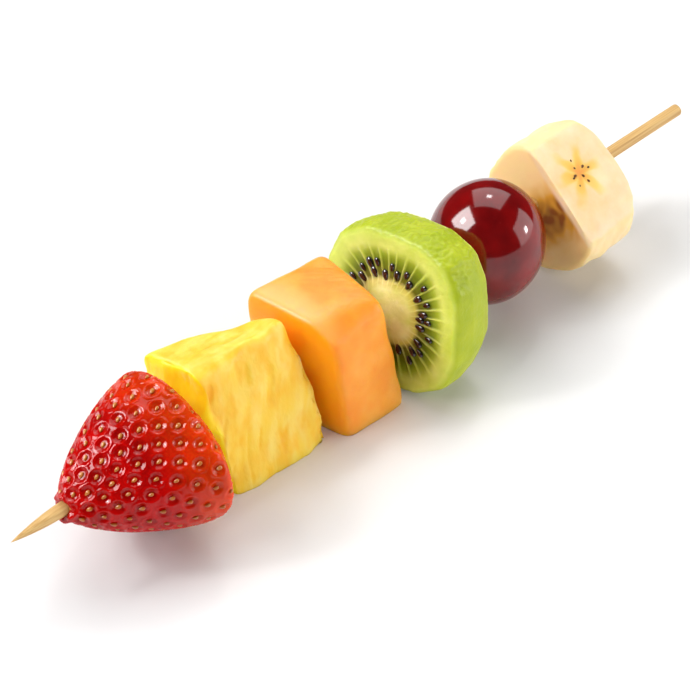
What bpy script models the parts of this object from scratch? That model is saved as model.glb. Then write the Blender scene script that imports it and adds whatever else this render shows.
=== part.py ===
"""Fruit skewer: six pieces of cut fruit threaded on a round bamboo stick that lies on its side.

Every fruit is modelled in the stick's own frame: X runs along the stick from its sharp tip,
Y points sideways and Z points up, with the stick's axis at y = z = 0. An empty carries the
whole row, and puts the middle of its footprint at the origin with the fruit resting on z = 0.
From the tip: strawberry, pineapple, melon, kiwi, grape and banana.
"""

import math

import bmesh
import bpy
from mathutils import Matrix, Vector, noise

MM = 0.001

# The bamboo stick.
STICK_LENGTH = 203.0 * MM
STICK_RADIUS = 1.5 * MM
STICK_SIDES = 16
TIP_LENGTH = 13.5 * MM
TIP_STEPS = 7
TIP_SWELL = 0.85
BLUNT_ROUNDING = 0.5 * MM
BORE_GAP = 0.3 * MM
BORE_OVERRUN = 6.0 * MM
WELD_DISTANCE = 0.01 * MM

# The stick's axis above the surface that the fruit rests on.
AXIS_HEIGHT = 18.8 * MM

# Strawberry: apex towards the stick's tip, leaves cut off square at the shoulder.
BERRY_FRONT = 12.4 * MM
BERRY_WIDEST = 39.7 * MM
BERRY_BACK = 44.6 * MM
BERRY_RADIUS = 16.9 * MM
BERRY_FLANK = 1.3
BERRY_NOSE = 0.64
BERRY_CUT_RADIUS = 0.54
BERRY_LOBES = 3
BERRY_LOBE_DEPTH = 0.06
BERRY_LOBE_ANGLE = 3.16
BERRY_CENTRE = Vector((0.0, -0.1, -0.5)) * MM
BERRY_LEAN = Vector((0.0, -0.05, -0.024))
BERRY_SHOULDER_CURVE = 1.1
BERRY_SEGMENTS = 30
BERRY_FLANK_STEPS = 12
BERRY_SHOULDER_STEPS = 4
BERRY_UNEVENNESS = (0.25 * MM, 9.0 * MM, 3.0)

# Pineapple: a wedge-shaped chunk, its eight corners named by their side of the chunk.
PINEAPPLE_CORNERS = {
    (-1, -1, -1): (52.4, -7.4, -20.0), (1, -1, -1): (77.6, -8.2, -20.0),
    (-1, 1, -1): (49.0, 13.5, -20.0), (1, 1, -1): (75.0, 9.0, -20.0),
    (-1, -1, 1): (48.8, -1.8, 12.6), (1, -1, 1): (72.4, -0.8, 13.2),
    (-1, 1, 1): (46.6, 14.8, 10.2), (1, 1, 1): (72.6, 5.2, 9.6),
}
PINEAPPLE_SQUARENESS = 16.0
PINEAPPLE_FIBRE = 1.9 * MM
PINEAPPLE_FIBRE_FAN = 0.12
PINEAPPLE_FURROW = 0.2 * MM
PINEAPPLE_CUTS = 10
PINEAPPLE_UNEVENNESS = (1.0 * MM, 7.0 * MM, 11.0)
PINEAPPLE_SPAN = (46.0 * MM, 78.0 * MM)

# Melon: a tapered block with soft edges, leaning a little towards the blunt end.
MELON_CORNERS = {
    (-1, -1, -1): (80.6, -10.8, -20.5), (1, -1, -1): (97.6, -11.4, -20.5),
    (-1, 1, -1): (77.4, 12.0, -20.5), (1, 1, -1): (96.4, 11.0, -20.5),
    (-1, -1, 1): (77.0, -9.9, 11.0), (1, -1, 1): (92.0, -9.4, 11.0),
    (-1, 1, 1): (73.8, 13.2, 11.0), (1, 1, 1): (95.4, 11.2, 11.2),
}
MELON_SQUARENESS = 10.0
MELON_CUTS = 8
MELON_UNEVENNESS = (0.35 * MM, 8.0 * MM, 5.0)
MELON_SPAN = (73.0 * MM, 99.0 * MM)

# Kiwi: a peeled slice whose outside keeps the flats that the knife left.
KIWI_FACE = 101.4 * MM
KIWI_THICKNESS = 14.0 * MM
KIWI_RADIUS = 19.3 * MM
KIWI_FLATS = 16
KIWI_SQUARING = 0.062
KIWI_CORNER_ANGLE = math.radians(37.0)
KIWI_LEAN_Y = -0.065
KIWI_LEAN_Z = 0.165
KIWI_CENTRE = Vector((0.0, -2.5, -1.2)) * MM
KIWI_NARROWING = 0.6
KIWI_WOBBLE = 0.02
KIWI_WOBBLE_TURNS = 3.0
KIWI_WOBBLE_DEPTH = 4.0
KIWI_RINGS = ((0.0, 0.985), (0.05, 1.0), (0.40, 1.0), (0.72, 0.95), (1.0, 0.84))

# Grape: a whole, slightly oval grape.
GRAPE_X = 134.2 * MM
GRAPE_RADII = Vector((13.3, 13.0, 14.6)) * MM
GRAPE_CENTRE = Vector((0.0, -1.0, -1.3)) * MM
GRAPE_FULLNESS = 0.02
GRAPE_SEGMENTS = 28
GRAPE_RINGS = 18

# Banana: a thick round chunk with a rounded far edge and one slanting cut face.
BANANA_FACE = 151.1 * MM
BANANA_BACK = 170.4 * MM
BANANA_RADIUS = 15.9 * MM
BANANA_TAPER = 0.3 * MM
BANANA_NEAR_ROUNDING = 1.2 * MM
BANANA_FAR_ROUNDING = 5.6 * MM
BANANA_RIDGES = 5
BANANA_RIDGE_DEPTH = 0.014
BANANA_RIDGE_ANGLE = 0.5
BANANA_NEAR_SHARE = 0.985
BANANA_FULL_FROM = 6.0 * MM
BANANA_SEGMENTS = 30
BANANA_NEAR_STEPS = 3
BANANA_FAR_STEPS = 6
BANANA_UNEVENNESS = (0.35 * MM, 10.0 * MM, 7.0)
BANANA_CENTRE = Vector((0.0, -1.7, -1.4)) * MM
BANANA_CUT_DISTANCE = 9.6 * MM
BANANA_CUT_NORMAL = Vector((0.0, -0.64, 0.76))

# Edges bent more than this stay crisp.
CREASE = math.radians(40.0)

# The surface that the fruit lies on, seen from the stick's axis.
FLOOR = -AXIS_HEIGHT

COLOURS = {
    "skewer": ((0.80, 0.62, 0.36, 1.0), 0.55),
    "strawberry": ((0.62, 0.02, 0.02, 1.0), 0.25),
    "pineapple": ((0.91, 0.68, 0.14, 1.0), 0.35),
    "melon": ((0.92, 0.44, 0.12, 1.0), 0.40),
    "kiwi": ((0.52, 0.62, 0.09, 1.0), 0.30),
    "grape": ((0.23, 0.01, 0.02, 1.0), 0.10),
    "banana": ((0.93, 0.80, 0.52, 1.0), 0.50),
}


def clear_scene():
    """Remove every object that the file starts with."""
    for old in list(bpy.data.objects):
        bpy.data.objects.remove(old, do_unlink=True)


def make_collection(name):
    """Return a new collection linked to the scene."""
    collection = bpy.data.collections.new(name)
    bpy.context.scene.collection.children.link(collection)
    return collection


def make_material(name):
    """Return a plain material in the colour and roughness listed for this piece."""
    colour, roughness = COLOURS[name]
    material = bpy.data.materials.new(name)
    material.use_nodes = True
    shader = material.node_tree.nodes["Principled BSDF"]
    shader.inputs["Base Color"].default_value = colour
    shader.inputs["Roughness"].default_value = roughness
    shader.inputs["Metallic"].default_value = 0.0
    material.diffuse_color = colour
    return material


def add_object(name, mesh, collection, frame):
    """Link a mesh as a named object that hangs from the row's empty."""
    obj = bpy.data.objects.new(name, mesh)
    collection.objects.link(obj)
    obj.parent = frame
    return obj


def finish_mesh(bm, name):
    """Turn a bmesh into mesh data with its faces pointing out."""
    bmesh.ops.recalc_face_normals(bm, faces=bm.faces)
    mesh = bpy.data.meshes.new(name)
    bm.to_mesh(mesh)
    bm.free()
    mesh.materials.append(make_material(name))
    return mesh


def shade_round(mesh):
    """Shade a mesh smooth, with its creases kept crisp."""
    mesh.shade_smooth()
    mesh.set_sharp_from_angle(angle=CREASE)


def roughen(bm, unevenness):
    """Move points by smooth noise, so that no two sides of a fruit are alike.

    unevenness holds the largest move, the distance over which the move changes, and an
    offset that picks another part of the same noise.
    """
    depth, spacing, offset = unevenness
    for vert in bm.verts:
        place = vert.co / spacing
        move = [noise.noise(place + Vector((offset, 10.0 * axis, 0.0))) for axis in range(3)]
        vert.co += Vector(move) * depth


def rest_on_floor(bm):
    """Flatten whatever reaches below the surface that the fruit lies on."""
    for vert in bm.verts:
        vert.co.z = max(vert.co.z, FLOOR)


def rounded_block(corners, squareness, cuts):
    """Return a block that fills eight corners, with rounded edges and crowned faces.

    A cube's grid of points is drawn in to a superellipsoid, which is a rounded cube, and
    then carried into the eight corners. A larger squareness gives sharper edges.
    """
    proud = 2.0 ** (0.5 / squareness)
    bm = bmesh.new()
    bmesh.ops.create_cube(bm, size=2.0)
    bmesh.ops.subdivide_edges(bm, edges=bm.edges, cuts=cuts, use_grid_fill=True)
    for vert in bm.verts:
        crowded = [c * (1.5 - 0.5 * c * c) for c in vert.co]
        size = sum(abs(c) ** squareness for c in crowded) ** (1.0 / squareness)
        place = [c * proud / size for c in crowded]
        point = Vector()
        for signs, corner in corners.items():
            weight = 1.0
            for sign, c in zip(signs, place):
                weight *= 0.5 * (1.0 + sign * c)
            point += weight * Vector(corner) * MM
        vert.co = point
    return bm


def turned_fruit(profile, segments, section):
    """Return a fruit whose outline turns about X.

    profile is a list of (x, radius) from pole to pole, and section(angle) scales the
    radius round the fruit. A sphere's rings are carried to the profile's points.
    """
    last = len(profile) - 1
    bm = bmesh.new()
    bmesh.ops.create_uvsphere(bm, u_segments=segments, v_segments=last, radius=1.0)
    for vert in bm.verts:
        ring = round(math.acos(max(-1.0, min(1.0, -vert.co.z))) / math.pi * last)
        angle = math.atan2(vert.co.y, vert.co.x)
        x, radius = profile[ring]
        radius *= section(angle)
        vert.co = (x, radius * math.cos(angle), radius * math.sin(angle))
    return bm


def bore(obj, cutters, frame, start, end):
    """Cut the stick's hole through a fruit that spans start to end along X."""
    start -= BORE_OVERRUN
    end += BORE_OVERRUN
    radius = (STICK_RADIUS + BORE_GAP) / math.cos(math.pi / STICK_SIDES)
    bm = bmesh.new()
    bmesh.ops.create_cone(
        bm, cap_ends=True, segments=STICK_SIDES, radius1=radius, radius2=radius, depth=end - start
    )
    turn = Matrix.Rotation(math.radians(90.0), 4, "Y")
    bm.transform(Matrix.Translation(((start + end) / 2, 0.0, 0.0)) @ turn)
    mesh = bpy.data.meshes.new("bore_" + obj.name)
    bm.to_mesh(mesh)
    bm.free()
    cut_away(obj, add_object("bore_" + obj.name, mesh, cutters, frame))


def cut_away(obj, cutter):
    """Take a hidden cutter's shape out of an object."""
    cutter.hide_render = True
    cutter.display_type = "WIRE"
    cut = obj.modifiers.new(cutter.name, "BOOLEAN")
    cut.operation = "DIFFERENCE"
    cut.solver = "EXACT"
    cut.object = cutter


def build_skewer(collection, frame):
    """Turn the stick: a blunt, slightly rounded end and a long convex point."""
    top = STICK_LENGTH
    profile = [(0.0, top), (STICK_RADIUS - BLUNT_ROUNDING, top)]
    profile.append((STICK_RADIUS, top - BLUNT_ROUNDING))
    for step in range(TIP_STEPS, 0, -1):
        part = step / TIP_STEPS
        radius = STICK_RADIUS * math.sin(0.5 * math.pi * part) ** TIP_SWELL
        profile.append((radius, TIP_LENGTH * part))
    profile.append((0.0, 0.0))

    bm = bmesh.new()
    points = [bm.verts.new((radius, 0.0, z)) for radius, z in profile]
    for first, second in zip(points, points[1:]):
        bm.edges.new((first, second))
    mesh = bpy.data.meshes.new("skewer")
    bm.to_mesh(mesh)
    bm.free()
    mesh.materials.append(make_material("skewer"))

    obj = add_object("skewer", mesh, collection, frame)
    obj.rotation_euler = (0.0, math.radians(90.0), 0.0)
    screw = obj.modifiers.new("turned", "SCREW")
    screw.steps = STICK_SIDES
    screw.render_steps = STICK_SIDES
    screw.use_merge_vertices = True
    screw.merge_threshold = WELD_DISTANCE
    screw.use_smooth_shade = True


def berry_profile():
    """Return the strawberry's outline: a blunt nose, a long flank and a cut shoulder."""
    points = [(BERRY_FRONT, 0.0)]
    for step in range(1, BERRY_FLANK_STEPS + 1):
        part = 1.0 - math.cos(0.5 * math.pi * step / BERRY_FLANK_STEPS)
        swell = (1.0 - (1.0 - part) ** BERRY_FLANK) ** BERRY_NOSE
        x = BERRY_FRONT + (BERRY_WIDEST - BERRY_FRONT) * part
        points.append((x, BERRY_RADIUS * swell))
    for step in range(1, BERRY_SHOULDER_STEPS + 1):
        part = step / BERRY_SHOULDER_STEPS
        drop = 1.0 - (1.0 - BERRY_CUT_RADIUS) * part ** BERRY_SHOULDER_CURVE
        x = BERRY_WIDEST + (BERRY_BACK - BERRY_WIDEST) * part
        points.append((x, BERRY_RADIUS * drop))
    points.append((BERRY_BACK, 0.0))
    return points


def build_strawberry(collection, cutters, frame):
    """Build the strawberry, which leans a little and has three blunt lobes round its sides."""

    def section(angle):
        return 1.0 + BERRY_LOBE_DEPTH * math.cos(BERRY_LOBES * angle - BERRY_LOBE_ANGLE)

    bm = turned_fruit(berry_profile(), BERRY_SEGMENTS, section)
    for vert in bm.verts:
        vert.co += BERRY_CENTRE + BERRY_LEAN * (vert.co.x - BERRY_FRONT)
    roughen(bm, BERRY_UNEVENNESS)
    mesh = finish_mesh(bm, "strawberry")
    shade_round(mesh)
    obj = add_object("strawberry", mesh, collection, frame)
    bore(obj, cutters, frame, BERRY_FRONT, BERRY_BACK)


def build_pineapple(collection, cutters, frame):
    """Build the pineapple chunk, with fibres that leave shallow furrows and ragged edges."""
    bm = rounded_block(PINEAPPLE_CORNERS, PINEAPPLE_SQUARENESS, PINEAPPLE_CUTS)
    roughen(bm, PINEAPPLE_UNEVENNESS)
    bm.normal_update()
    for vert in bm.verts:
        furrow = math.sin(vert.co.x / PINEAPPLE_FIBRE + PINEAPPLE_FIBRE_FAN * vert.co.z / MM)
        vert.co += vert.normal * PINEAPPLE_FURROW * furrow
    rest_on_floor(bm)
    mesh = finish_mesh(bm, "pineapple")
    shade_round(mesh)
    obj = add_object("pineapple", mesh, collection, frame)
    bore(obj, cutters, frame, *PINEAPPLE_SPAN)


def build_melon(collection, cutters, frame):
    """Build the melon block."""
    bm = rounded_block(MELON_CORNERS, MELON_SQUARENESS, MELON_CUTS)
    roughen(bm, MELON_UNEVENNESS)
    rest_on_floor(bm)
    mesh = finish_mesh(bm, "melon")
    shade_round(mesh)
    obj = add_object("melon", mesh, collection, frame)
    bore(obj, cutters, frame, *MELON_SPAN)


def build_kiwi(collection, cutters, frame):
    """Build the kiwi slice: flat faces, knife flats round it, and a narrower far side."""
    bm = bmesh.new()
    bmesh.ops.create_cone(
        bm, cap_ends=True, segments=KIWI_FLATS, radius1=1.0, radius2=1.0, depth=1.0
    )
    sides = [e for e in bm.edges if abs(e.verts[0].co.z - e.verts[1].co.z) > 0.5]
    last = len(KIWI_RINGS) - 1
    bmesh.ops.subdivide_edges(bm, edges=sides, cuts=last - 1, use_grid_fill=True)
    for vert in bm.verts:
        ring = round((vert.co.z + 0.5) * last)
        depth, scale = KIWI_RINGS[ring]
        angle = math.atan2(vert.co.y, vert.co.x) + KIWI_CORNER_ANGLE
        squared = 1.0 + KIWI_SQUARING * math.cos(4.0 * (angle - KIWI_CORNER_ANGLE))
        turn = Vector((math.cos(angle), math.sin(angle), 0.0)) * KIWI_WOBBLE_TURNS
        wobble = noise.noise(turn + Vector((0.0, 0.0, KIWI_WOBBLE_DEPTH * depth)))
        radius = KIWI_RADIUS * scale * (squared + KIWI_WOBBLE * wobble)
        y = radius * math.cos(angle)
        z = radius * math.sin(angle)
        lean = (1.0 - KIWI_NARROWING * depth) * (KIWI_LEAN_Y * y + KIWI_LEAN_Z * z)
        vert.co = Vector((KIWI_FACE + KIWI_THICKNESS * depth + lean, y, z)) + KIWI_CENTRE
    rest_on_floor(bm)
    mesh = finish_mesh(bm, "kiwi")
    obj = add_object("kiwi", mesh, collection, frame)
    bore(obj, cutters, frame, KIWI_FACE, KIWI_FACE + KIWI_THICKNESS)


def build_grape(collection, cutters, frame):
    """Build the grape as a slightly lopsided oval."""
    bm = bmesh.new()
    bmesh.ops.create_uvsphere(bm, u_segments=GRAPE_SEGMENTS, v_segments=GRAPE_RINGS, radius=1.0)
    for vert in bm.verts:
        fuller = 1.0 + GRAPE_FULLNESS * vert.co.z
        vert.co = Vector(
            (
                GRAPE_RADII.x * vert.co.x * fuller,
                GRAPE_RADII.y * vert.co.y * fuller,
                GRAPE_RADII.z * vert.co.z,
            )
        )
    bmesh.ops.translate(bm, verts=bm.verts, vec=GRAPE_CENTRE + Vector((GRAPE_X, 0.0, 0.0)))
    mesh = finish_mesh(bm, "grape")
    shade_round(mesh)
    obj = add_object("grape", mesh, collection, frame)
    bore(obj, cutters, frame, GRAPE_X - GRAPE_RADII.x, GRAPE_X + GRAPE_RADII.x)


def banana_profile():
    """Return the banana's outline: flat near face, full side and a rounded far edge."""
    near = BANANA_NEAR_ROUNDING
    far = BANANA_FAR_ROUNDING
    points = [(BANANA_FACE, 0.0), (BANANA_FACE, 0.5 * BANANA_RADIUS)]
    for step in range(BANANA_NEAR_STEPS + 1):
        part = 0.5 * math.pi * step / BANANA_NEAR_STEPS
        along = near * (1.0 - math.cos(part))
        radius = BANANA_NEAR_SHARE * BANANA_RADIUS - near * (1.0 - math.sin(part))
        points.append((BANANA_FACE + along, radius))
    points.append((BANANA_FACE + BANANA_FULL_FROM, BANANA_RADIUS))
    for step in range(BANANA_FAR_STEPS + 1):
        part = 0.5 * math.pi * step / BANANA_FAR_STEPS
        along = far * (1.0 - math.sin(part))
        drop = BANANA_TAPER + far * (1.0 - math.cos(part))
        points.append((BANANA_BACK - along, BANANA_RADIUS - drop))
    points.append((BANANA_BACK, 0.0))
    return points


def build_banana(collection, cutters, frame):
    """Build the banana chunk: five blunt ridges, and a slanting cut across its upper side."""

    def section(angle):
        return 1.0 + BANANA_RIDGE_DEPTH * math.cos(BANANA_RIDGES * angle + BANANA_RIDGE_ANGLE)

    bm = turned_fruit(banana_profile(), BANANA_SEGMENTS, section)
    bmesh.ops.translate(bm, verts=bm.verts, vec=BANANA_CENTRE)
    roughen(bm, BANANA_UNEVENNESS)
    normal = BANANA_CUT_NORMAL.normalized()
    middle = Vector(((BANANA_FACE + BANANA_BACK) / 2, 0.0, 0.0))
    whole = bm.verts[:] + bm.edges[:] + bm.faces[:]
    cut = bmesh.ops.bisect_plane(
        bm,
        geom=whole,
        plane_co=middle + normal * BANANA_CUT_DISTANCE,
        plane_no=normal,
        clear_outer=True,
    )
    rim = [item for item in cut["geom_cut"] if isinstance(item, bmesh.types.BMEdge)]
    bmesh.ops.edgeloop_fill(bm, edges=rim)
    rest_on_floor(bm)
    mesh = finish_mesh(bm, "banana")
    shade_round(mesh)
    obj = add_object("banana", mesh, collection, frame)
    bore(obj, cutters, frame, BANANA_FACE, BANANA_BACK)


def place_row(frame, pieces):
    """Lie the row on z = 0 with the middle of its footprint at the origin."""
    bpy.context.view_layer.update()
    depsgraph = bpy.context.evaluated_depsgraph_get()
    sides = []
    for piece in pieces:
        shape = piece.evaluated_get(depsgraph)
        sides.extend((shape.matrix_world @ vert.co).y for vert in shape.data.vertices)
    middle = (min(sides) + max(sides)) / 2
    frame.location = (-STICK_LENGTH / 2, -middle, AXIS_HEIGHT)


def main():
    """Build the whole skewer."""
    clear_scene()
    collection = make_collection("fruit_skewer")
    cutters = make_collection("cutters")
    frame = bpy.data.objects.new("row_frame", None)
    collection.objects.link(frame)
    build_skewer(collection, frame)
    build_strawberry(collection, cutters, frame)
    build_pineapple(collection, cutters, frame)
    build_melon(collection, cutters, frame)
    build_kiwi(collection, cutters, frame)
    build_grape(collection, cutters, frame)
    build_banana(collection, cutters, frame)
    place_row(frame, [obj for obj in collection.objects if obj.type == "MESH"])


main()
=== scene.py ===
"""Looks of a fruit skewer: six pieces of cut fruit on a round bamboo stick.

Every fruit is modelled in the stick's own frame: X runs along the stick from its sharp tip, Y to
the left of that and Z up, with the stick's axis at y = z = 0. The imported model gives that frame's
place, and each fruit made here stands for the plain solid of the same name.
"""

import logging
import math
from dataclasses import dataclass, field
from enum import Enum
from typing import Any, Callable, Sequence

import bpy
import numpy as np
from mathutils import Matrix, Vector, kdtree, noise

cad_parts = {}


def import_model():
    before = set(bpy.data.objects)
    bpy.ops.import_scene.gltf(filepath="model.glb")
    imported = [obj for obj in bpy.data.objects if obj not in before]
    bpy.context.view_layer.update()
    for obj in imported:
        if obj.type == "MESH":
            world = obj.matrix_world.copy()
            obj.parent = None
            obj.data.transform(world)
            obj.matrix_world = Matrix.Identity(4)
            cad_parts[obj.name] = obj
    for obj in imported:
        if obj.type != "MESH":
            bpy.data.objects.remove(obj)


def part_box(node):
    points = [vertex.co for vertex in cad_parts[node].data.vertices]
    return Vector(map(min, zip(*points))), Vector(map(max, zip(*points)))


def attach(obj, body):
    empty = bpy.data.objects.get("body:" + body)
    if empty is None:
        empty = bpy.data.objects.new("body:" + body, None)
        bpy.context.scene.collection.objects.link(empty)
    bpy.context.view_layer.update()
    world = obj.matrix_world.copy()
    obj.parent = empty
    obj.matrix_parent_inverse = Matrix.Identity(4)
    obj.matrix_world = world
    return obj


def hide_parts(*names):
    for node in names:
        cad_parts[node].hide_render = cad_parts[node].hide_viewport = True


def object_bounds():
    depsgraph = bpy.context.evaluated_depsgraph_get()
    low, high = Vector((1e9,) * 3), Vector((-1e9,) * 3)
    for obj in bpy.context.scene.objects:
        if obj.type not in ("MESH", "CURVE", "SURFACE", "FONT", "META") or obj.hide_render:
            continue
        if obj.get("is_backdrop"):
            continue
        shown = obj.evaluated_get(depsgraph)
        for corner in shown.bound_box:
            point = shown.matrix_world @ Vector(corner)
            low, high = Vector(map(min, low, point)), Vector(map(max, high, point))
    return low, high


MM = 0.001
LOG = logging.getLogger("fruit_skewer")

# Settings and sockets of the node that blends two colours.
BLEND = {"data_type": "RGBA", "blend_type": "MIX"}
TINT = {"data_type": "RGBA", "blend_type": "MULTIPLY"}
SHARE, UNDER, OVER = 0, 6, 7
BLENDED = 2

# How squarely a side has to face the sharp tip to count as the near face: from not at all to full.
NEAR_FACING = (0.35, 0.9)


class Part(Enum):
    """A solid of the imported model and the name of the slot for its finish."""

    SKEWER = ("skewer", "bamboo")
    STRAWBERRY = ("strawberry", "strawberry")
    PINEAPPLE = ("pineapple", "pineapple")
    MELON = ("melon", "melon")
    KIWI = ("kiwi", "kiwi")
    GRAPE = ("grape", "grape")
    BANANA = ("banana", "banana")

    @property
    def node(self) -> str:
        """Return the name of the solid's node."""
        return self.value[0]

    @property
    def slot(self) -> str:
        """Return the name of the finish's slot."""
        return self.value[1]


# ---------------------------------------------------------------------------------------------
# Small tools
# ---------------------------------------------------------------------------------------------


def linear(code: str) -> tuple[float, float, float, float]:
    """Turn an sRGB hex colour into the linear colour that shaders use.

    Args:
        code: Six hex digits, with or without a leading #.

    Returns:
        Red, green, blue and an alpha of one.
    """
    digits = code.lstrip("#")
    channels = []
    for start in (0, 2, 4):
        value = int(digits[start:start + 2], 16) / 255.0
        channels.append(value / 12.92 if value <= 0.04045 else ((value + 0.055) / 1.055) ** 2.4)
    return (channels[0], channels[1], channels[2], 1.0)


def per_mm(size: float) -> float:
    """Return the pattern scale at which one cell of a pattern is this many millimetres."""
    return 1.0 / (size * MM)


def smooth_step(low: float, high: float, value: np.ndarray) -> np.ndarray:
    """Return 0 below low, 1 above high and an even curve between them."""
    part = np.clip((value - low) / (high - low), 0.0, 1.0)
    return part * part * (3.0 - 2.0 * part)


def grain(points: np.ndarray, spacing: Any, offset: float) -> np.ndarray:
    """Sample smooth noise, which lies between about -1 and 1.

    Args:
        points: Places in metres, one row each.
        spacing: Distance in metres over which the noise changes, one for all axes or one each.
        offset: Picks another part of the same noise.

    Returns:
        One value for each point.
    """
    places = points / spacing + np.array((offset, 0.0, 0.0))
    return np.array([noise.noise(Vector(place)) for place in places])


def drift(points: np.ndarray, depth: float, spacing: float, offset: float) -> np.ndarray:
    """Move points by smooth noise, as the plain solids are, so that no two sides are alike.

    Args:
        points: Places in metres, one row each.
        depth: Largest move in metres.
        spacing: Distance over which the move changes, in metres.
        offset: Picks another part of the same noise.

    Returns:
        The moved points.
    """
    moves = []
    for axis in range(3):
        shifted = points + np.array((0.0, 10.0 * axis * spacing, 0.0))
        moves.append(grain(shifted, spacing, offset))
    return points + depth * np.stack(moves, axis=1)


def soft_cut(
    points: np.ndarray, origin: Sequence[float], normal: Sequence[float], softness: float
) -> np.ndarray:
    """Cut a shape off flat, with a soft edge round the cut.

    Args:
        points: Places in metres, one row each.
        origin: A place on the cut.
        normal: The way that the cut faces.
        softness: How gently the shape turns into the cut, in metres.

    Returns:
        The moved points.
    """
    way = np.array(normal) / np.linalg.norm(normal)
    beyond = (points - np.array(origin)) @ way
    kept = -softness * np.log1p(np.exp(np.clip(-beyond / softness, -60.0, 60.0)))
    return points + np.outer(kept - beyond, way)


def dragged_flesh(points: np.ndarray, height: float, width: float) -> np.ndarray:
    """Return how far flesh that was dragged along the stick stands up round it.

    Args:
        points: Places in metres, one row each.
        height: Height on the stick's axis, in metres.
        width: Distance from the axis at which little is left, in metres.

    Returns:
        One height in metres for each point.
    """
    from_stick = np.hypot(points[:, 1], points[:, 2])
    return height * np.exp(-((from_stick / width) ** 2))


def even_outline(corners: Sequence[tuple[float, float]], count: int, softness: float) -> np.ndarray:
    """Spread points evenly along an outline that starts and ends on the axis.

    Args:
        corners: (place along the axis, radius) pairs.
        count: Number of points wanted.
        softness: Length over which each corner is rounded.

    Returns:
        count rows of place and radius. The first and last radius are zero.
    """
    line = np.array(corners)
    steps = np.hypot(np.diff(line[:, 0]), np.diff(line[:, 1]))
    lengths = np.concatenate(([0.0], np.cumsum(steps)))
    total = lengths[-1]
    places = np.linspace(0.0, total, count)
    taps = np.linspace(-0.5 * softness, 0.5 * softness, 11)
    rows = np.zeros((count, 2))
    for tap in taps:
        inside = np.abs(places + tap)
        inside = np.where(inside > total, 2.0 * total - inside, inside)
        mirrored = (places + tap < 0.0) | (places + tap > total)
        sign = np.where(mirrored, -1.0, 1.0)
        rows[:, 0] += np.interp(inside, lengths, line[:, 0])
        rows[:, 1] += sign * np.interp(inside, lengths, line[:, 1])
    rows /= len(taps)
    rows[0, 1] = rows[-1, 1] = 0.0
    return rows


# ---------------------------------------------------------------------------------------------
# Surfaces
# ---------------------------------------------------------------------------------------------


@dataclass
class Surface:
    """A closed surface: its points, its faces and named values for each point.

    Attributes:
        points: Places in metres in the stick's frame.
        quads: Four point numbers for each four-sided face.
        fans: Three point numbers for each three-sided face.
        marks: Named values, one for each point, which the materials read.
    """

    points: np.ndarray
    quads: np.ndarray
    fans: np.ndarray = field(default_factory=lambda: np.zeros((0, 3), int))
    marks: dict[str, np.ndarray] = field(default_factory=dict)

    def normals(self) -> np.ndarray:
        """Work out which way the surface faces.

        Returns:
            One unit vector for each point, pointing outwards.
        """
        total = np.zeros_like(self.points)
        corner = self.points[self.quads]
        across = np.cross(corner[:, 2] - corner[:, 0], corner[:, 3] - corner[:, 1])
        for side in range(4):
            np.add.at(total, self.quads[:, side], across)
        if len(self.fans):
            corner = self.points[self.fans]
            across = np.cross(corner[:, 1] - corner[:, 0], corner[:, 2] - corner[:, 0])
            for side in range(3):
                np.add.at(total, self.fans[:, side], across)
        length = np.linalg.norm(total, axis=1, keepdims=True)
        return total / np.maximum(length, 1e-20)

    def push(self, distance: np.ndarray) -> None:
        """Move each point outwards by its own distance."""
        self.points = self.points + self.normals() * distance[:, None]

    def rest(self, floor: float) -> None:
        """Flatten whatever reaches below the surface that the fruit lies on."""
        self.points[:, 2] = np.maximum(self.points[:, 2], floor)

    def to_mesh(self, name: str) -> bpy.types.Mesh:
        """Turn the surface into smooth-shaded mesh data with its marks as attributes.

        Args:
            name: Name of the mesh data.

        Returns:
            The mesh data.
        """
        mesh = bpy.data.meshes.new(name)
        faces = self.quads.tolist() + self.fans.tolist()
        mesh.from_pydata(self.points.tolist(), [], faces)
        mesh.shade_smooth()
        for mark, values in self.marks.items():
            layer = mesh.attributes.new(mark, "FLOAT", "POINT")
            layer.data.foreach_set("value", values.astype(np.float32))
        mesh.update()
        return mesh


def turned(
    outline: np.ndarray, sectors: int, section: Callable[[np.ndarray], np.ndarray]
) -> Surface:
    """Turn an outline about X.

    Args:
        outline: Rows of place and radius, on the axis at both ends.
        sectors: Number of points round the fruit.
        section: Gives the share of the radius at each angle.

    Returns:
        The surface, with its pole points first and last and its rings in order between them.
    """
    angles = np.arange(sectors) * (2.0 * math.pi / sectors)
    shares = section(angles)
    rings = outline[1:-1]
    radii = rings[:, 1][:, None] * shares
    along = np.repeat(rings[:, 0], sectors).reshape(len(rings), sectors)
    body = np.stack((along, radii * np.cos(angles), radii * np.sin(angles)), axis=2)
    ends = np.array(((outline[0, 0], 0.0, 0.0), (outline[-1, 0], 0.0, 0.0)))
    points = np.concatenate((ends[:1], body.reshape(-1, 3), ends[1:]))

    here = np.arange(sectors)
    after = (here + 1) % sectors
    quads = []
    for ring in range(len(rings) - 1):
        low = 1 + ring * sectors
        high = low + sectors
        quads.append(np.stack((low + here, low + after, high + after, high + here), axis=1))
    last = 1 + (len(rings) - 1) * sectors
    first_fan = np.stack((np.zeros_like(here), 1 + after, 1 + here), axis=1)
    last_pole = np.full_like(here, len(points) - 1)
    last_fan = np.stack((last_pole, last + here, last + after), axis=1)
    return Surface(points, np.concatenate(quads), np.concatenate((first_fan, last_fan)))


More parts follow.
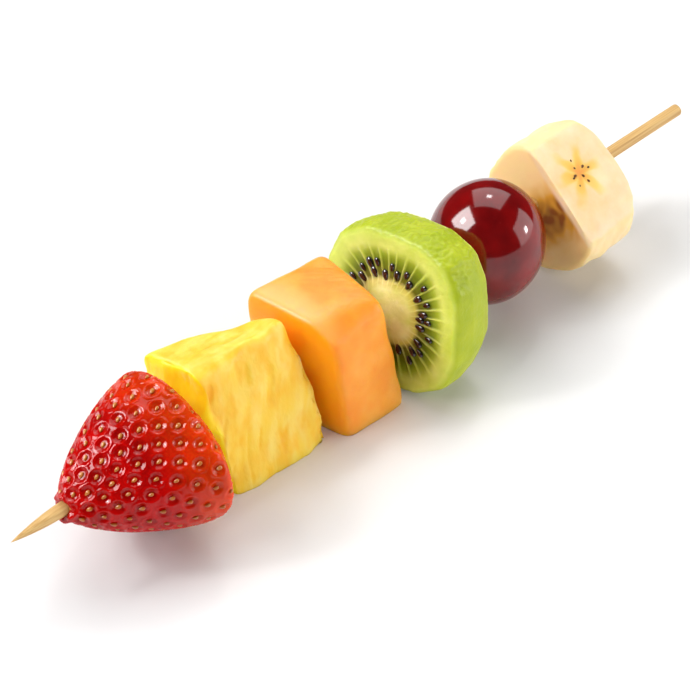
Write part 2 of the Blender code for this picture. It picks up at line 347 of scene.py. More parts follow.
def cube_grid(cells: int) -> Surface:
    """Make a cube from -1 to 1 whose faces are grids of square cells.

    Args:
        cells: Cells along each edge.

    Returns:
        The surface, closed and without doubled points.
    """
    points = []
    quads = []
    row = cells + 1
    across, up = np.meshgrid(np.arange(row), np.arange(row), indexing="ij")
    cell = (np.arange(cells)[:, None] * row + np.arange(cells)).ravel()
    for axis in range(3):
        for side in (0, cells):
            place = np.zeros((row * row, 3), int)
            place[:, axis] = side
            place[:, (axis + 1) % 3] = across.ravel()
            place[:, (axis + 2) % 3] = up.ravel()
            ring = np.stack((cell, cell + row, cell + row + 1, cell + 1), axis=1)
            ring = ring if side else ring[:, ::-1]
            quads.append(ring + len(points) * row * row)
            points.append(place)
    corners, numbers = np.unique(np.concatenate(points), axis=0, return_inverse=True)
    faces = numbers.ravel()[np.concatenate(quads)]
    return Surface(corners * (2.0 / cells) - 1.0, faces)


def rounded_block(corners: dict[tuple, tuple], squareness: float, cells: int) -> Surface:
    """Fill eight corners with a block whose edges are rounded and whose faces are crowned.

    Args:
        corners: Corner places in millimetres, each named by its side along X, Y and Z.
        squareness: A larger number gives sharper edges.
        cells: Grid cells along each edge.

    Returns:
        The surface. Its mark edge is 0 in the middle of a face and 1 on an edge.
    """
    block = cube_grid(cells)
    crowded = block.points * (1.5 - 0.5 * block.points ** 2)
    size = (np.abs(crowded) ** squareness).sum(axis=1, keepdims=True) ** (1.0 / squareness)
    place = crowded * 2.0 ** (0.5 / squareness) / size
    points = np.zeros_like(place)
    for signs, corner in corners.items():
        weight = np.prod(0.5 * (1.0 + np.array(signs) * place), axis=1)
        points += weight[:, None] * np.array(corner) * MM
    second = np.sort(np.abs(block.points), axis=1)[:, 1]
    block.marks["edge"] = smooth_step(0.72, 1.0, second)
    block.points = points
    return block


def scatter(template: Surface, frames: Sequence[Matrix]) -> Surface:
    """Join one copy of a small surface for each frame.

    Args:
        template: The surface to copy.
        frames: Where each copy goes, how it is turned and its size.

    Returns:
        All the copies as one surface. Its mark own differs from copy to copy.
    """
    homogeneous = np.c_[template.points, np.ones(len(template.points))]
    points = [(homogeneous @ np.array(frame).T)[:, :3] for frame in frames]
    shifts = np.arange(len(frames))[:, None, None] * len(template.points)
    quads = (template.quads[None] + shifts).reshape(-1, 4)
    fans = (template.fans[None] + shifts).reshape(-1, 3)
    own = np.repeat(np.modf(np.arange(len(frames)) * 0.618)[0], len(template.points))
    return Surface(np.concatenate(points), quads, fans, {"own": own})


def seed_shape(narrowing: float) -> Surface:
    """Make a pointed seed of length, width and thickness two, with its point at -X.

    Args:
        narrowing: How much thinner the pointed half is. Below zero, the other half is thinner.

    Returns:
        The surface.
    """
    angles = np.linspace(0.0, math.pi, 11)
    along = -np.cos(angles)
    outline = np.stack((along, np.sin(angles) * (1.0 + narrowing * along)), axis=1)
    return turned(outline, 12, np.ones_like)


def standing(place: Vector, along: Vector, out: Vector, size: Vector) -> Matrix:
    """Return the frame of a small thing on a surface.

    Args:
        place: Its middle.
        along: Roughly the way that its length runs.
        out: The way that its thickness runs.
        size: Half its length, width and thickness.

    Returns:
        A matrix that carries a shape of size two to its place.
    """
    third = out.normalized()
    first = (along - third * along.dot(third)).normalized()
    second = third.cross(first)
    turn = Matrix((first, second, third)).transposed().to_4x4()
    return Matrix.Translation(place) @ turn @ Matrix.Diagonal((size.x, size.y, size.z, 1.0))


def publish(
    surface: Surface, name: str, part: Part, finish: "Finish", tip: Vector
) -> bpy.types.Object:
    """Add a surface to the scene as a piece that rides with the skewer.

    Args:
        surface: The piece's shape in the stick's frame.
        name: The piece's name.
        part: The solid that the piece stands for.
        finish: Its finish.
        tip: Place of the stick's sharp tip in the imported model's frame.

    Returns:
        The new object.
    """
    mesh = surface.to_mesh(name)
    mesh.materials.append(finish.make())
    obj = bpy.data.objects.new(name, mesh)
    bpy.context.scene.collection.objects.link(obj)
    obj.location = tip
    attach(obj, "root")
    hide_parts(part.node)
    LOG.info("%s: %d points, %s", name, len(mesh.vertices), mesh.materials[0].name)
    return obj


# ---------------------------------------------------------------------------------------------
# Finishes
# ---------------------------------------------------------------------------------------------


def add_node(
    tree: bpy.types.NodeTree,
    kind: str,
    settings: dict[str, Any] | None = None,
    inputs: dict[Any, Any] | None = None,
    stops: Sequence[tuple[float, str]] = (),
) -> bpy.types.Node:
    """Add a node with its settings, its constants and its links.

    Args:
        tree: The node tree.
        kind: The node's type name.
        settings: Properties to set on the node.
        inputs: For each input's name or number, a constant or the socket that feeds it.
        stops: Places and hex colours, for a node that holds a colour ramp.

    Returns:
        The new node.
    """
    made = tree.nodes.new(kind)
    for name, value in (settings or {}).items():
        setattr(made, name, value)
    for name, value in (inputs or {}).items():
        if isinstance(value, bpy.types.NodeSocket):
            tree.links.new(value, made.inputs[name])
        else:
            made.inputs[name].default_value = value
    for number, (place, code) in enumerate(stops):
        elements = made.color_ramp.elements
        stop = elements[number] if number < 2 else elements.new(place)
        stop.position = place
        stop.color = linear(code)
    return made


@dataclass(frozen=True)
class Pattern:
    """Smooth noise that runs through a material.

    Attributes:
        size: Size of one cell along X, Y and Z in millimetres.
        detail: Number of finer levels in it.
    """

    size: tuple[float, float, float]
    detail: float = 3.0


@dataclass(frozen=True)
class Finish:
    """What every finish has.

    Attributes:
        name: The real material and how its surface was made.
        roughness: How far the surface spreads what it reflects.
        ior: Index of refraction.
        coat: Share of the surface under a film of juice.
        coat_roughness: Roughness of that film.
        spread: Share of the light that travels below the surface.
        reach: How far red, green and blue travel there, in millimetres.
        patterns: The noises that give the colour and the grain.
        relief: Height in millimetres of the grain that the last pattern raises.
    """

    name: str
    roughness: float = 0.4
    ior: float = 1.4
    coat: float = 0.0
    coat_roughness: float = 0.08
    spread: float = 0.0
    reach: tuple[float, float, float] = (1.0, 1.0, 1.0)
    patterns: tuple[Pattern, ...] = ()
    relief: float = 0.0

    def make(self) -> bpy.types.Material:
        """Build the material.

        Returns:
            The material, with its colour, its patterns and its grain.
        """
        material = bpy.data.materials.new(self.name)
        material.use_nodes = True
        tree = material.node_tree
        shader = tree.nodes["Principled BSDF"]
        settings = {
            "Roughness": self.roughness,
            "IOR": self.ior,
            "Coat Weight": self.coat,
            "Coat Roughness": self.coat_roughness,
            "Subsurface Weight": self.spread,
            "Subsurface Radius": self.reach,
            "Subsurface Scale": MM,
        }
        for name, value in settings.items():
            shader.inputs[name].default_value = value

        spot = add_node(tree, "ShaderNodeTexCoord").outputs["Object"]
        grains = []
        for pattern in self.patterns:
            scale = tuple(per_mm(size) for size in pattern.size)
            stretch = add_node(tree, "ShaderNodeMapping", inputs={"Vector": spot, "Scale": scale})
            inputs = {"Vector": stretch.outputs["Vector"], "Scale": 1.0, "Detail": pattern.detail}
            grains.append(add_node(tree, "ShaderNodeTexNoise", inputs=inputs).outputs["Fac"])
        tree.links.new(self.colour(tree, grains), shader.inputs["Base Color"])
        if self.relief:
            inputs = {"Height": grains[-1], "Distance": self.relief * MM, "Strength": 1.0}
            bump = add_node(tree, "ShaderNodeBump", inputs=inputs)
            tree.links.new(bump.outputs["Normal"], shader.inputs["Normal"])
        return material

    def colour(self, tree: bpy.types.NodeTree, grains: Sequence[Any]) -> Any:
        """Add the nodes of the colour.

        Args:
            tree: The node tree.
            grains: The sockets of the finish's patterns.

        Returns:
            The socket that gives the colour.
        """
        raise NotImplementedError


@dataclass(frozen=True)
class Bamboo(Finish):
    """Raw bamboo, split, drawn round and sanded: pale, dull, with fine lengthwise fibres."""

    name: str = "bamboo_drawn_and_sanded"
    roughness: float = 0.52
    ior: float = 1.45
    patterns: tuple[Pattern, ...] = (Pattern((28.0, 0.35, 0.35)),)
    relief: float = 0.05

    def colour(self, tree: bpy.types.NodeTree, grains: Sequence[Any]) -> Any:
        """Streak the stick along its length.

        Args:
            tree: The node tree.
            grains: The sockets of the finish's patterns.

        Returns:
            The socket that gives the colour.
        """
        streaks = add_node(
            tree,
            "ShaderNodeValToRGB",
            inputs={"Fac": grains[0]},
            stops=((0.28, "#b28548"), (0.72, "#dcba7c"), (0.5, "#cda462")),
        )
        return streaks.outputs["Color"]


@dataclass(frozen=True)
class BerrySkin(Finish):
    """Ripe strawberry skin, wet: deep red that light enters, under a film of juice."""

    name: str = "strawberry_skin_wet"
    roughness: float = 0.5
    ior: float = 1.05
    coat: float = 0.6
    coat_roughness: float = 0.06
    spread: float = 0.5
    reach: tuple[float, float, float] = (2.2, 0.15, 0.1)
    patterns: tuple[Pattern, ...] = (Pattern((5.0, 5.0, 5.0), 4.0),)
    ripe: str = "#ba0201"
    pit: str = "#b80301"
    shoulder: str = "#e64a08"
    flesh: str = "#f3b7a0"

    def colour(self, tree: bpy.types.NodeTree, grains: Sequence[Any]) -> Any:
        """Colour the cushions, the pits, the paler shoulder and the cut end.

        Args:
            tree: The node tree.
            grains: The sockets of the finish's patterns.

        Returns:
            The socket that gives the colour.
        """
        colour = linear(self.ripe)
        for mark, code in (("pit", self.pit), ("shoulder", self.shoulder), ("cut", self.flesh)):
            share = add_node(tree, "ShaderNodeAttribute", {"attribute_name": mark})
            inputs = {SHARE: share.outputs["Fac"], UNDER: colour, OVER: linear(code)}
            colour = add_node(tree, "ShaderNodeMix", BLEND, inputs).outputs[BLENDED]
        mottle = add_node(
            tree,
            "ShaderNodeValToRGB",
            inputs={"Fac": grains[0]},
            stops=((0.3, "#d4cccc"), (0.7, "#ffffff")),
        )
        inputs = {SHARE: 1.0, UNDER: colour, OVER: mottle.outputs["Color"]}
        return add_node(tree, "ShaderNodeMix", TINT, inputs).outputs[BLENDED]


@dataclass(frozen=True)
class Achene(Finish):
    """Strawberry seeds: small dry nuts, golden, with a wet glint."""

    name: str = "strawberry_achene_golden"
    roughness: float = 0.3
    ior: float = 1.45
    coat: float = 0.5

    def colour(self, tree: bpy.types.NodeTree, grains: Sequence[Any]) -> Any:
        """Give each seed its own gold.

        Args:
            tree: The node tree.
            grains: The sockets of the finish's patterns; not used here.

        Returns:
            The socket that gives the colour.
        """
        own = add_node(tree, "ShaderNodeAttribute", {"attribute_name": "own"})
        gold = add_node(
            tree,
            "ShaderNodeValToRGB",
            inputs={"Fac": own.outputs["Fac"]},
            stops=((0.0, "#8a4610"), (1.0, "#c8802a"), (0.5, "#ac5e18")),
        )
        return gold.outputs["Color"]


@dataclass(frozen=True)
class PineappleFlesh(Finish):
    """Fresh pineapple, cut across its fibres: moist, pale strands with deeper yellow between."""

    name: str = "pineapple_flesh_cut"
    roughness: float = 0.42
    ior: float = 1.34
    coat: float = 0.12
    coat_roughness: float = 0.22
    spread: float = 0.55
    reach: tuple[float, float, float] = (3.6, 3.1, 0.4)
    patterns: tuple[Pattern, ...] = (Pattern((3.4, 3.4, 6.0), 2.0), Pattern((0.9, 0.9, 1.6)))
    relief: float = 0.14
    # Painted shade: the near face, in the strawberry's shade, takes this deeper, more saturated
    # yellow.
    painted_shade_colour: str = "#ffec20"

    def colour(self, tree: bpy.types.NodeTree, grains: Sequence[Any]) -> Any:
        """Colour the strands by their height, with painted shade as a deeper yellow on the near
        face.

        Args:
            tree: The node tree.
            grains: The sockets of the finish's patterns.

        Returns:
            The socket that gives the colour.
        """
        strands = add_node(tree, "ShaderNodeAttribute", {"attribute_name": "strand"})
        flesh = add_node(
            tree,
            "ShaderNodeValToRGB",
            inputs={"Fac": strands.outputs["Fac"]},
            stops=((0.0, "#f0c024"), (1.0, "#f8dc74"), (0.35, "#f2c736"), (0.65, "#f4cf4c")),
        )
        # Painted shade: the mark deep turns the near face a deeper yellow, as it looks in shade.
        deep = add_node(tree, "ShaderNodeAttribute", {"attribute_name": "deep"})
        under = flesh.outputs["Color"]
        inputs = {SHARE: deep.outputs["Fac"], UNDER: under, OVER: linear(self.painted_shade_colour)}
        sided = add_node(tree, "ShaderNodeMix", BLEND, inputs)
        tone = add_node(
            tree,
            "ShaderNodeValToRGB",
            inputs={"Fac": grains[0]},
            stops=((0.36, "#fdeaa4"), (0.60, "#ffffff")),
        )
        inputs = {SHARE: 1.0, UNDER: sided.outputs[BLENDED], OVER: tone.outputs["Color"]}
        return add_node(tree, "ShaderNodeMix", TINT, inputs).outputs[BLENDED]


@dataclass(frozen=True)
class MelonFlesh(Finish):
    """Ripe orange melon, cut with a smooth knife: soft, moist and a little translucent."""

    name: str = "melon_flesh_cut"
    roughness: float = 0.42
    ior: float = 1.34
    coat: float = 0.1
    coat_roughness: float = 0.2
    spread: float = 0.75
    reach: tuple[float, float, float] = (7.0, 2.4, 0.3)
    patterns: tuple[Pattern, ...] = (Pattern((7.0, 7.0, 9.0), 4.0), Pattern((0.8, 0.8, 0.8)))
    relief: float = 0.05
    # Painted shade: the near face, in the pineapple's shade, takes this deeper orange.
    painted_shade_colour: str = "#ffa010"
    # Painted sheen: the top takes this paler orange along its near edge.
    soft: str = "#f9c47c"

    def colour(self, tree: bpy.types.NodeTree, grains: Sequence[Any]) -> Any:
        """Colour the block in slow clouds of orange, with painted shade as a deeper orange on the
        near face and a painted sheen along the top's near edge.

        Args:
            tree: The node tree.
            grains: The sockets of the finish's patterns.

        Returns:
            The socket that gives the colour.
        """
        clouds = add_node(
            tree,
            "ShaderNodeValToRGB",
            inputs={"Fac": grains[0]},
            stops=((0.3, "#f28e24"), (0.7, "#f8a640"), (0.5, "#f59a30")),
        )
        # Painted shade: the mark deep turns the near face a deeper orange, as it looks in shade.
        deep = add_node(tree, "ShaderNodeAttribute", {"attribute_name": "deep"})
        under = clouds.outputs["Color"]
        inputs = {SHARE: deep.outputs["Fac"], UNDER: under, OVER: linear(self.painted_shade_colour)}
        body = add_node(tree, "ShaderNodeMix", BLEND, inputs)
        # Painted sheen: the mark pale lightens the top along its near edge.
        pale = add_node(tree, "ShaderNodeAttribute", {"attribute_name": "pale"})
        inputs = {SHARE: pale.outputs["Fac"], UNDER: body.outputs[BLENDED], OVER: linear(self.soft)}
        return add_node(tree, "ShaderNodeMix", BLEND, inputs).outputs[BLENDED]


@dataclass(frozen=True)
class KiwiFlesh(Finish):
    """Peeled kiwi, sliced: a cream heart, pale rays between darker wet pockets, green outside."""

    name: str = "kiwi_flesh_sliced"
    roughness: float = 0.46
    ior: float = 1.34
    coat: float = 0.08
    coat_roughness: float = 0.22
    spread: float = 0.6
    reach: tuple[float, float, float] = (2.6, 3.2, 0.5)
    patterns: tuple[Pattern, ...] = (Pattern((5.0, 5.0, 5.0)), Pattern((0.6, 0.6, 0.6)))
    relief: float = 0.12
    pocket: tuple[tuple[float, str], ...] = (
        (0.30, "#fbf3a8"), (1.0, "#b2bc24"), (0.385, "#e0cf68"), (0.44, "#74721a"),
        (0.60, "#768618"), (0.72, "#a4b632"), (0.82, "#dfe878"), (0.93, "#dce670"),
    )
    beam: tuple[tuple[float, str], ...] = (
        (0.30, "#fbf3a8"), (1.0, "#b2bc24"), (0.40, "#f4ea94"), (0.55, "#ccd26e"),
        (0.69, "#d6e06c"), (0.80, "#e2ea7c"), (0.93, "#dce670"),
    )

    def colour(self, tree: bpy.types.NodeTree, grains: Sequence[Any]) -> Any:
        """Colour by distance from the heart, with the rays and the pockets between them.

        Args:
            tree: The node tree.
            grains: The sockets of the finish's patterns.

        Returns:
            The socket that gives the colour.
        """
        away = add_node(tree, "ShaderNodeAttribute", {"attribute_name": "radius"}).outputs["Fac"]
        ray = add_node(tree, "ShaderNodeAttribute", {"attribute_name": "ray"}).outputs["Fac"]
        pocket = add_node(tree, "ShaderNodeValToRGB", inputs={"Fac": away}, stops=self.pocket)
        beam = add_node(tree, "ShaderNodeValToRGB", inputs={"Fac": away}, stops=self.beam)
        inputs = {SHARE: ray, UNDER: pocket.outputs["Color"], OVER: beam.outputs["Color"]}
        flesh = add_node(tree, "ShaderNodeMix", BLEND, inputs)
        tone = add_node(
            tree,
            "ShaderNodeValToRGB",
            inputs={"Fac": grains[0]},
            stops=((0.3, "#e4ecb8"), (0.7, "#ffffff")),
        )
        inputs = {SHARE: 1.0, UNDER: flesh.outputs[BLENDED], OVER: tone.outputs["Color"]}
        return add_node(tree, "ShaderNodeMix", TINT, inputs).outputs[BLENDED]


@dataclass(frozen=True)
class KiwiSeedCoat(Finish):
    """Kiwi seeds: smooth purple-black coats, wet."""

    name: str = "kiwi_seed_coat_wet"
    roughness: float = 0.2
    ior: float = 1.5
    coat: float = 0.8

    def colour(self, tree: bpy.types.NodeTree, grains: Sequence[Any]) -> Any:
        """Vary the coats between black and dark plum.

        Args:
            tree: The node tree.
            grains: The sockets of the finish's patterns; not used here.

        Returns:
            The socket that gives the colour.
        """
        own = add_node(tree, "ShaderNodeAttribute", {"attribute_name": "own"})
        plum = add_node(
            tree,
            "ShaderNodeValToRGB",
            inputs={"Fac": own.outputs["Fac"]},
            stops=((0.0, "#17080b"), (1.0, "#2c1519")),
        )
        return plum.outputs["Color"]


@dataclass(frozen=True)
class GrapeSkin(Finish):
    """Red grape skin, washed: smooth, taut and very glossy, dark red with tiny pale specks."""

    name: str = "grape_skin_washed"
    roughness: float = 0.1
    ior: float = 1.55
    spread: float = 0.25
    reach: tuple[float, float, float] = (2.6, 0.2, 0.2)
    patterns: tuple[Pattern, ...] = (Pattern((9.0, 9.0, 9.0)), Pattern((0.7, 0.7, 0.7), 1.0))
    speck: str = "#a8403a"

    def colour(self, tree: bpy.types.NodeTree, grains: Sequence[Any]) -> Any:
        """Shade the skin from red to maroon, with fine specks.

        Args:
            tree: The node tree.
            grains: The sockets of the finish's patterns.

        Returns:
            The socket that gives the colour.
        """
        skin = add_node(
            tree,
            "ShaderNodeValToRGB",
            inputs={"Fac": grains[0]},
            stops=((0.32, "#5c0103"), (0.7, "#8a0405")),
        )
        dots = add_node(
            tree,
            "ShaderNodeValToRGB",
            inputs={"Fac": grains[1]},
            stops=((0.74, "#000000"), (0.84, "#606060")),
        )
        under = skin.outputs["Color"]
        inputs = {SHARE: dots.outputs["Color"], UNDER: under, OVER: linear(self.speck)}
        return add_node(tree, "ShaderNodeMix", BLEND, inputs).outputs[BLENDED]


@dataclass(frozen=True)
class BananaFlesh(Finish):
    """Peeled banana, cut: soft cream flesh with a golden star where its seeds were."""

    name: str = "banana_flesh_cut"
    roughness: float = 0.5
    ior: float = 1.34
    coat: float = 0.08
    coat_roughness: float = 0.25
    spread: float = 0.5
    reach: tuple[float, float, float] = (3.2, 1.9, 0.5)
    patterns: tuple[Pattern, ...] = (Pattern((6.0, 6.0, 6.0), 4.0), Pattern((0.9, 0.9, 0.9)))
    relief: float = 0.06
    side: str = "#f4d8a2"
    # Near face colours from fresh to dark: partly browned flesh, partly painted shade.
    browned_and_shaded: tuple[tuple[float, str], ...] = ((0.0, "#f9d898"), (1.0, "#9c5608"), (0.5, "#e2a238"))

    def colour(self, tree: bpy.types.NodeTree, grains: Sequence[Any]) -> Any:
        """Colour the flesh, the star, the side and the near face, which is partly browned flesh and
        partly painted shade.

        Args:
            tree: The node tree.
            grains: The sockets of the finish's patterns.

        Returns:
            The socket that gives the colour.
        """
        cream = add_node(
            tree,
            "ShaderNodeValToRGB",
            inputs={"Fac": grains[0]},
            stops=((0.3, "#edc894"), (0.7, "#f6dab4")),
        )
        star = add_node(tree, "ShaderNodeAttribute", {"attribute_name": "star"})
        golden = add_node(
            tree,
            "ShaderNodeValToRGB",
            inputs={"Fac": star.outputs["Fac"]},
            stops=((0.0, "#ffffff"), (1.0, "#f4bc72"), (0.3, "#faf2a8"), (0.6, "#f8e084")),
        )
        inputs = {SHARE: 1.0, UNDER: cream.outputs["Color"], OVER: golden.outputs["Color"]}
        face = add_node(tree, "ShaderNodeMix", TINT, inputs)
        rim = add_node(tree, "ShaderNodeAttribute", {"attribute_name": "rim"})
        inputs = {SHARE: rim.outputs["Fac"], UNDER: face.outputs[BLENDED], OVER: linear(self.side)}
        sided = add_node(tree, "ShaderNodeMix", BLEND, inputs)
        # The near face's brown is partly browned flesh and partly painted shade.
        age = add_node(tree, "ShaderNodeAttribute", {"attribute_name": "age"})
        inputs = {"Fac": age.outputs["Fac"]}
        brown = add_node(tree, "ShaderNodeValToRGB", inputs=inputs, stops=self.browned_and_shaded)
        near = add_node(tree, "ShaderNodeAttribute", {"attribute_name": "near"})
        under, over = sided.outputs[BLENDED], brown.outputs["Color"]
        inputs = {SHARE: near.outputs["Fac"], UNDER: under, OVER: over}
        return add_node(tree, "ShaderNodeMix", BLEND, inputs).outputs[BLENDED]


@dataclass(frozen=True)
class BananaSeed(Finish):
    """The specks that a banana has for seeds: soft, dark brown."""

    name: str = "banana_seed_speck"
    roughness: float = 0.5

    def colour(self, tree: bpy.types.NodeTree, grains: Sequence[Any]) -> Any:
        """Vary the browns from speck to speck.

        Args:
            tree: The node tree.
            grains: The sockets of the finish's patterns; not used here.

        Returns:
            The socket that gives the colour.
        """
        own = add_node(tree, "ShaderNodeAttribute", {"attribute_name": "own"})
        brown = add_node(
            tree,
            "ShaderNodeValToRGB",
            inputs={"Fac": own.outputs["Fac"]},
            stops=((0.0, "#3a1f0c"), (1.0, "#70401a")),
        )
        return brown.outputs["Color"]


@dataclass(frozen=True)
class WhiteBoard(Finish):
    """Matt white laminate under the fruit, which shows soft shadows and no mirror image."""

    name: str = "laminate_white_matt"
    roughness: float = 0.7
    ior: float = 1.3
    patterns: tuple[Pattern, ...] = (Pattern((40.0, 40.0, 40.0)),)

    def colour(self, tree: bpy.types.NodeTree, grains: Sequence[Any]) -> Any:
        """Leave the board plain, with a grain too faint to read as a pattern.

        Args:
            tree: The node tree.
            grains: The sockets of the finish's patterns.

        Returns:
            The socket that gives the colour.
        """
        white = add_node(
            tree,
            "ShaderNodeValToRGB",
            inputs={"Fac": grains[0]},
            stops=((0.0, "#e2e2e2"), (1.0, "#e5e5e5")),
        )
        return white.outputs["Color"]


# ---------------------------------------------------------------------------------------------
# The pieces
# ---------------------------------------------------------------------------------------------


@dataclass
class Stick:
    """The bamboo stick: a long convex point, a round shank and a blunt end."""

    tip: Vector
    length: float
    radius: float = 1.5 * MM
    point: float = 13.5 * MM
    point_power: float = 0.85
    rounding: float = 0.12 * MM
    rings: int = 260
    sectors: int = 48
    fibre_depth: float = 0.035 * MM
    fibre_size: tuple[float, float, float] = (30.0, 0.7, 0.7)
    point_steps: int = 40

    def outline(self) -> np.ndarray:
        """Draw the stick from its tip to its blunt end.

        Returns:
            Rows of place and radius.
        """
        corners = [(0.0, 0.0)]
        for part in np.linspace(0.0, 1.0, self.point_steps)[1:]:
            swell = math.sin(0.5 * math.pi * part) ** self.point_power
            corners.append((self.point * part, self.radius * swell))
        corners.append((self.length, self.radius))
        corners.append((self.length, 0.0))
        return even_outline(corners, self.rings, self.rounding)

    def build(self) -> None:
        """Make the stick, with fibres that leave shallow lengthwise furrows."""
        stick = turned(self.outline(), self.sectors, np.ones_like)
        furrows = grain(stick.points, np.array(self.fibre_size) * MM, 2.0)
        stick.push(self.fibre_depth * (furrows - 1.0))
        publish(stick, "bamboo_stick", Part.SKEWER, Bamboo(), self.tip)


@dataclass
class Strawberry:
    """The strawberry: its apex towards the stick's tip, its leaves cut off square."""

    tip: Vector
    floor: float
    front: float = 12.4 * MM
    widest: float = 39.7 * MM
    back: float = 44.6 * MM
    radius: float = 16.9 * MM
    flank: float = 1.3
    nose: float = 0.64
    cut_radius: float = 0.54
    lobes: int = 3
    lobe_depth: float = 0.06
    lobe_angle: float = 3.16
    centre: tuple[float, float, float] = (0.0, -0.1, -0.5)
    lean: tuple[float, float, float] = (0.0, -0.05, -0.024)
    rings: int = 190
    sectors: int = 380
    softness: float = 2.2 * MM
    seeds: int = 196
    pit_length: float = 3.3 * MM
    pit_width: float = 3.0 * MM
    pit_depth: float = 0.38 * MM
    rim_height: float = 0.15 * MM
    seed_size: tuple[float, float, float] = (0.60, 0.38, 0.32)
    golden_angle: float = math.radians(137.508)
    crowding: float = 0.75
    bare_nose: float = 0.02
    bare_shoulder: float = 1.2 * MM
    seed_sinking: float = 0.16 * MM
    seed_narrowing: float = 0.28
    shoulder_width: float = 13.0 * MM
    shoulder_paleness: float = 0.85
    cut_share: tuple[float, float] = (0.40, 0.50)
    unevenness: tuple[float, float] = (0.25 * MM, 9.0 * MM)
    pit_wall: tuple[float, float] = (0.48, 1.0)
    pit_tint: tuple[float, float] = (0.5, 1.05)
    rim_place: float = 1.08
    rim_width: float = 0.14
    swelling_size: float = 1.6 * MM
    swelling_depth: float = 0.03 * MM
    lip_reach: float = 6.0 * MM
    lip_radius: float = 2.3 * MM
    lip_width: float = 0.7 * MM
    lip_height: float = 0.7 * MM
    hole: tuple[float, float] = (1.2 * MM, 2.1 * MM)
    hole_depth: float = 1.0 * MM

    def outline(self) -> np.ndarray:
        """Draw the berry: a blunt nose, a long flank and a cut shoulder.

        Returns:
            Rows of place and radius.
        """
        corners = [(self.front, 0.0)]
        for turn in np.linspace(0.0, 0.5 * math.pi, 60)[1:]:
            part = 1.0 - math.cos(turn)
            swell = (1.0 - (1.0 - part) ** self.flank) ** self.nose
            corners.append((self.front + (self.widest - self.front) * part, self.radius * swell))
        for part in np.linspace(0.0, 1.0, 12)[1:]:
            drop = 1.0 - (1.0 - self.cut_radius) * part ** 1.1
            corners.append((self.widest + (self.back - self.widest) * part, self.radius * drop))
        corners.append((self.back, 0.0))
        return even_outline(corners, self.rings, self.softness)

    def section(self, angles: np.ndarray) -> np.ndarray:
        """Return the berry's three blunt lobes as shares of its radius."""
        return 1.0 + self.lobe_depth * np.cos(self.lobes * angles - self.lobe_angle)

    def build(self) -> None:
        """Make the berry's skin, its pits and the seeds that sit in them."""
        outline = self.outline()
        skin = turned(outline, self.sectors, self.section)
        along = skin.points[:, 0]
        paler = smooth_step(self.widest - self.shoulder_width, self.back - 1.0 * MM, along)
        patchy = 1.0 + 0.5 * grain(skin.points, 6.0 * MM, 6.0)
        skin.marks["shoulder"] = self.shoulder_paleness * paler * patchy
        around = np.hypot(skin.points[:, 1], skin.points[:, 2])
        on_cap = smooth_step(self.back - 0.8 * MM, self.back - 0.2 * MM, along)
        inside = 1.0 - smooth_step(*self.cut_share, around / self.radius)
        skin.marks["cut"] = on_cap * inside
        skin.points += np.array(self.centre) * MM + np.outer(along - self.front, self.lean)
        skin.points = drift(skin.points, *self.unevenness, 3.0)
        normals = skin.normals()
        nests = self.sow(skin, normals, outline)
        oval = self.nearest(skin, nests)
        pit = 1.0 - smooth_step(*self.pit_wall, oval)
        rim = np.exp(-(((oval - self.rim_place) / self.rim_width) ** 2))
        skin.marks["pit"] = 1.0 - smooth_step(*self.pit_tint, oval)
        torn = self.torn_lip(skin)
        swelling = grain(skin.points, self.swelling_size, 8.0) * self.swelling_depth
        skin.push(self.rim_height * rim - self.pit_depth * pit + torn + swelling)
        skin.rest(self.floor)
        publish(skin, "strawberry_skin", Part.STRAWBERRY, BerrySkin(), self.tip)
        self.plant(nests)

    def torn_lip(self, skin: Surface) -> np.ndarray:
        """Raise a ragged lip where the stick breaks the skin, round a sunk hole.

        Args:
            skin: The skin before it is pushed.

        Returns:
            One height in metres for each point.
        """
        from_stick = np.hypot(skin.points[:, 1], skin.points[:, 2])
        near_nose = skin.points[:, 0] < self.front + self.lip_reach
        ragged = 1.0 + 0.8 * grain(skin.points, 1.5 * MM, 4.0)
        ring = np.exp(-(((from_stick - self.lip_radius) / self.lip_width) ** 2))
        lip = ring * self.lip_height * ragged
        sunk = (1.0 - smooth_step(*self.hole, from_stick)) * self.hole_depth
        return np.where(near_nose, lip - sunk, 0.0)

    def sow(self, skin: Surface, normals: np.ndarray, outline: np.ndarray) -> list[tuple]:
        """Place the seeds in the spirals that they grow in, closer together near the apex.

        Args:
            skin: The skin before its pits are made.
            normals: The skin's outward directions.
            outline: The outline that the skin was turned from.

        Returns:
            Place, direction towards the shoulder and outward direction of each seed.
        """
        steps = np.hypot(np.diff(outline[:, 0]), np.diff(outline[:, 1]))
        middle = 0.5 * (outline[1:] + outline[:-1])
        reach = (middle[:, 0] - self.front) / (self.widest - self.front)
        crowding = 1.0 + self.crowding * (1.0 - np.clip(reach, 0.0, 1.0)) ** 1.5
        bare = (reach < self.bare_nose) | (middle[:, 0] > self.back - self.bare_shoulder)
        share = np.where(bare, 0.0, steps * middle[:, 1] * crowding)
        filled = np.cumsum(share) / share.sum()
        nests = []
        for number in range(self.seeds):
            ring = int(np.searchsorted(filled, (number + 0.5) / self.seeds))
            ring = min(max(ring, 2), self.rings - 4)
            turn = number * self.golden_angle / (2.0 * math.pi)
            sector = int(round((turn % 1.0) * self.sectors)) % self.sectors
            here = 1 + (ring - 1) * self.sectors + sector
            ahead = Vector(skin.points[here + self.sectors] - skin.points[here - self.sectors])
            nests.append((Vector(skin.points[here]), ahead, Vector(normals[here])))
        return nests

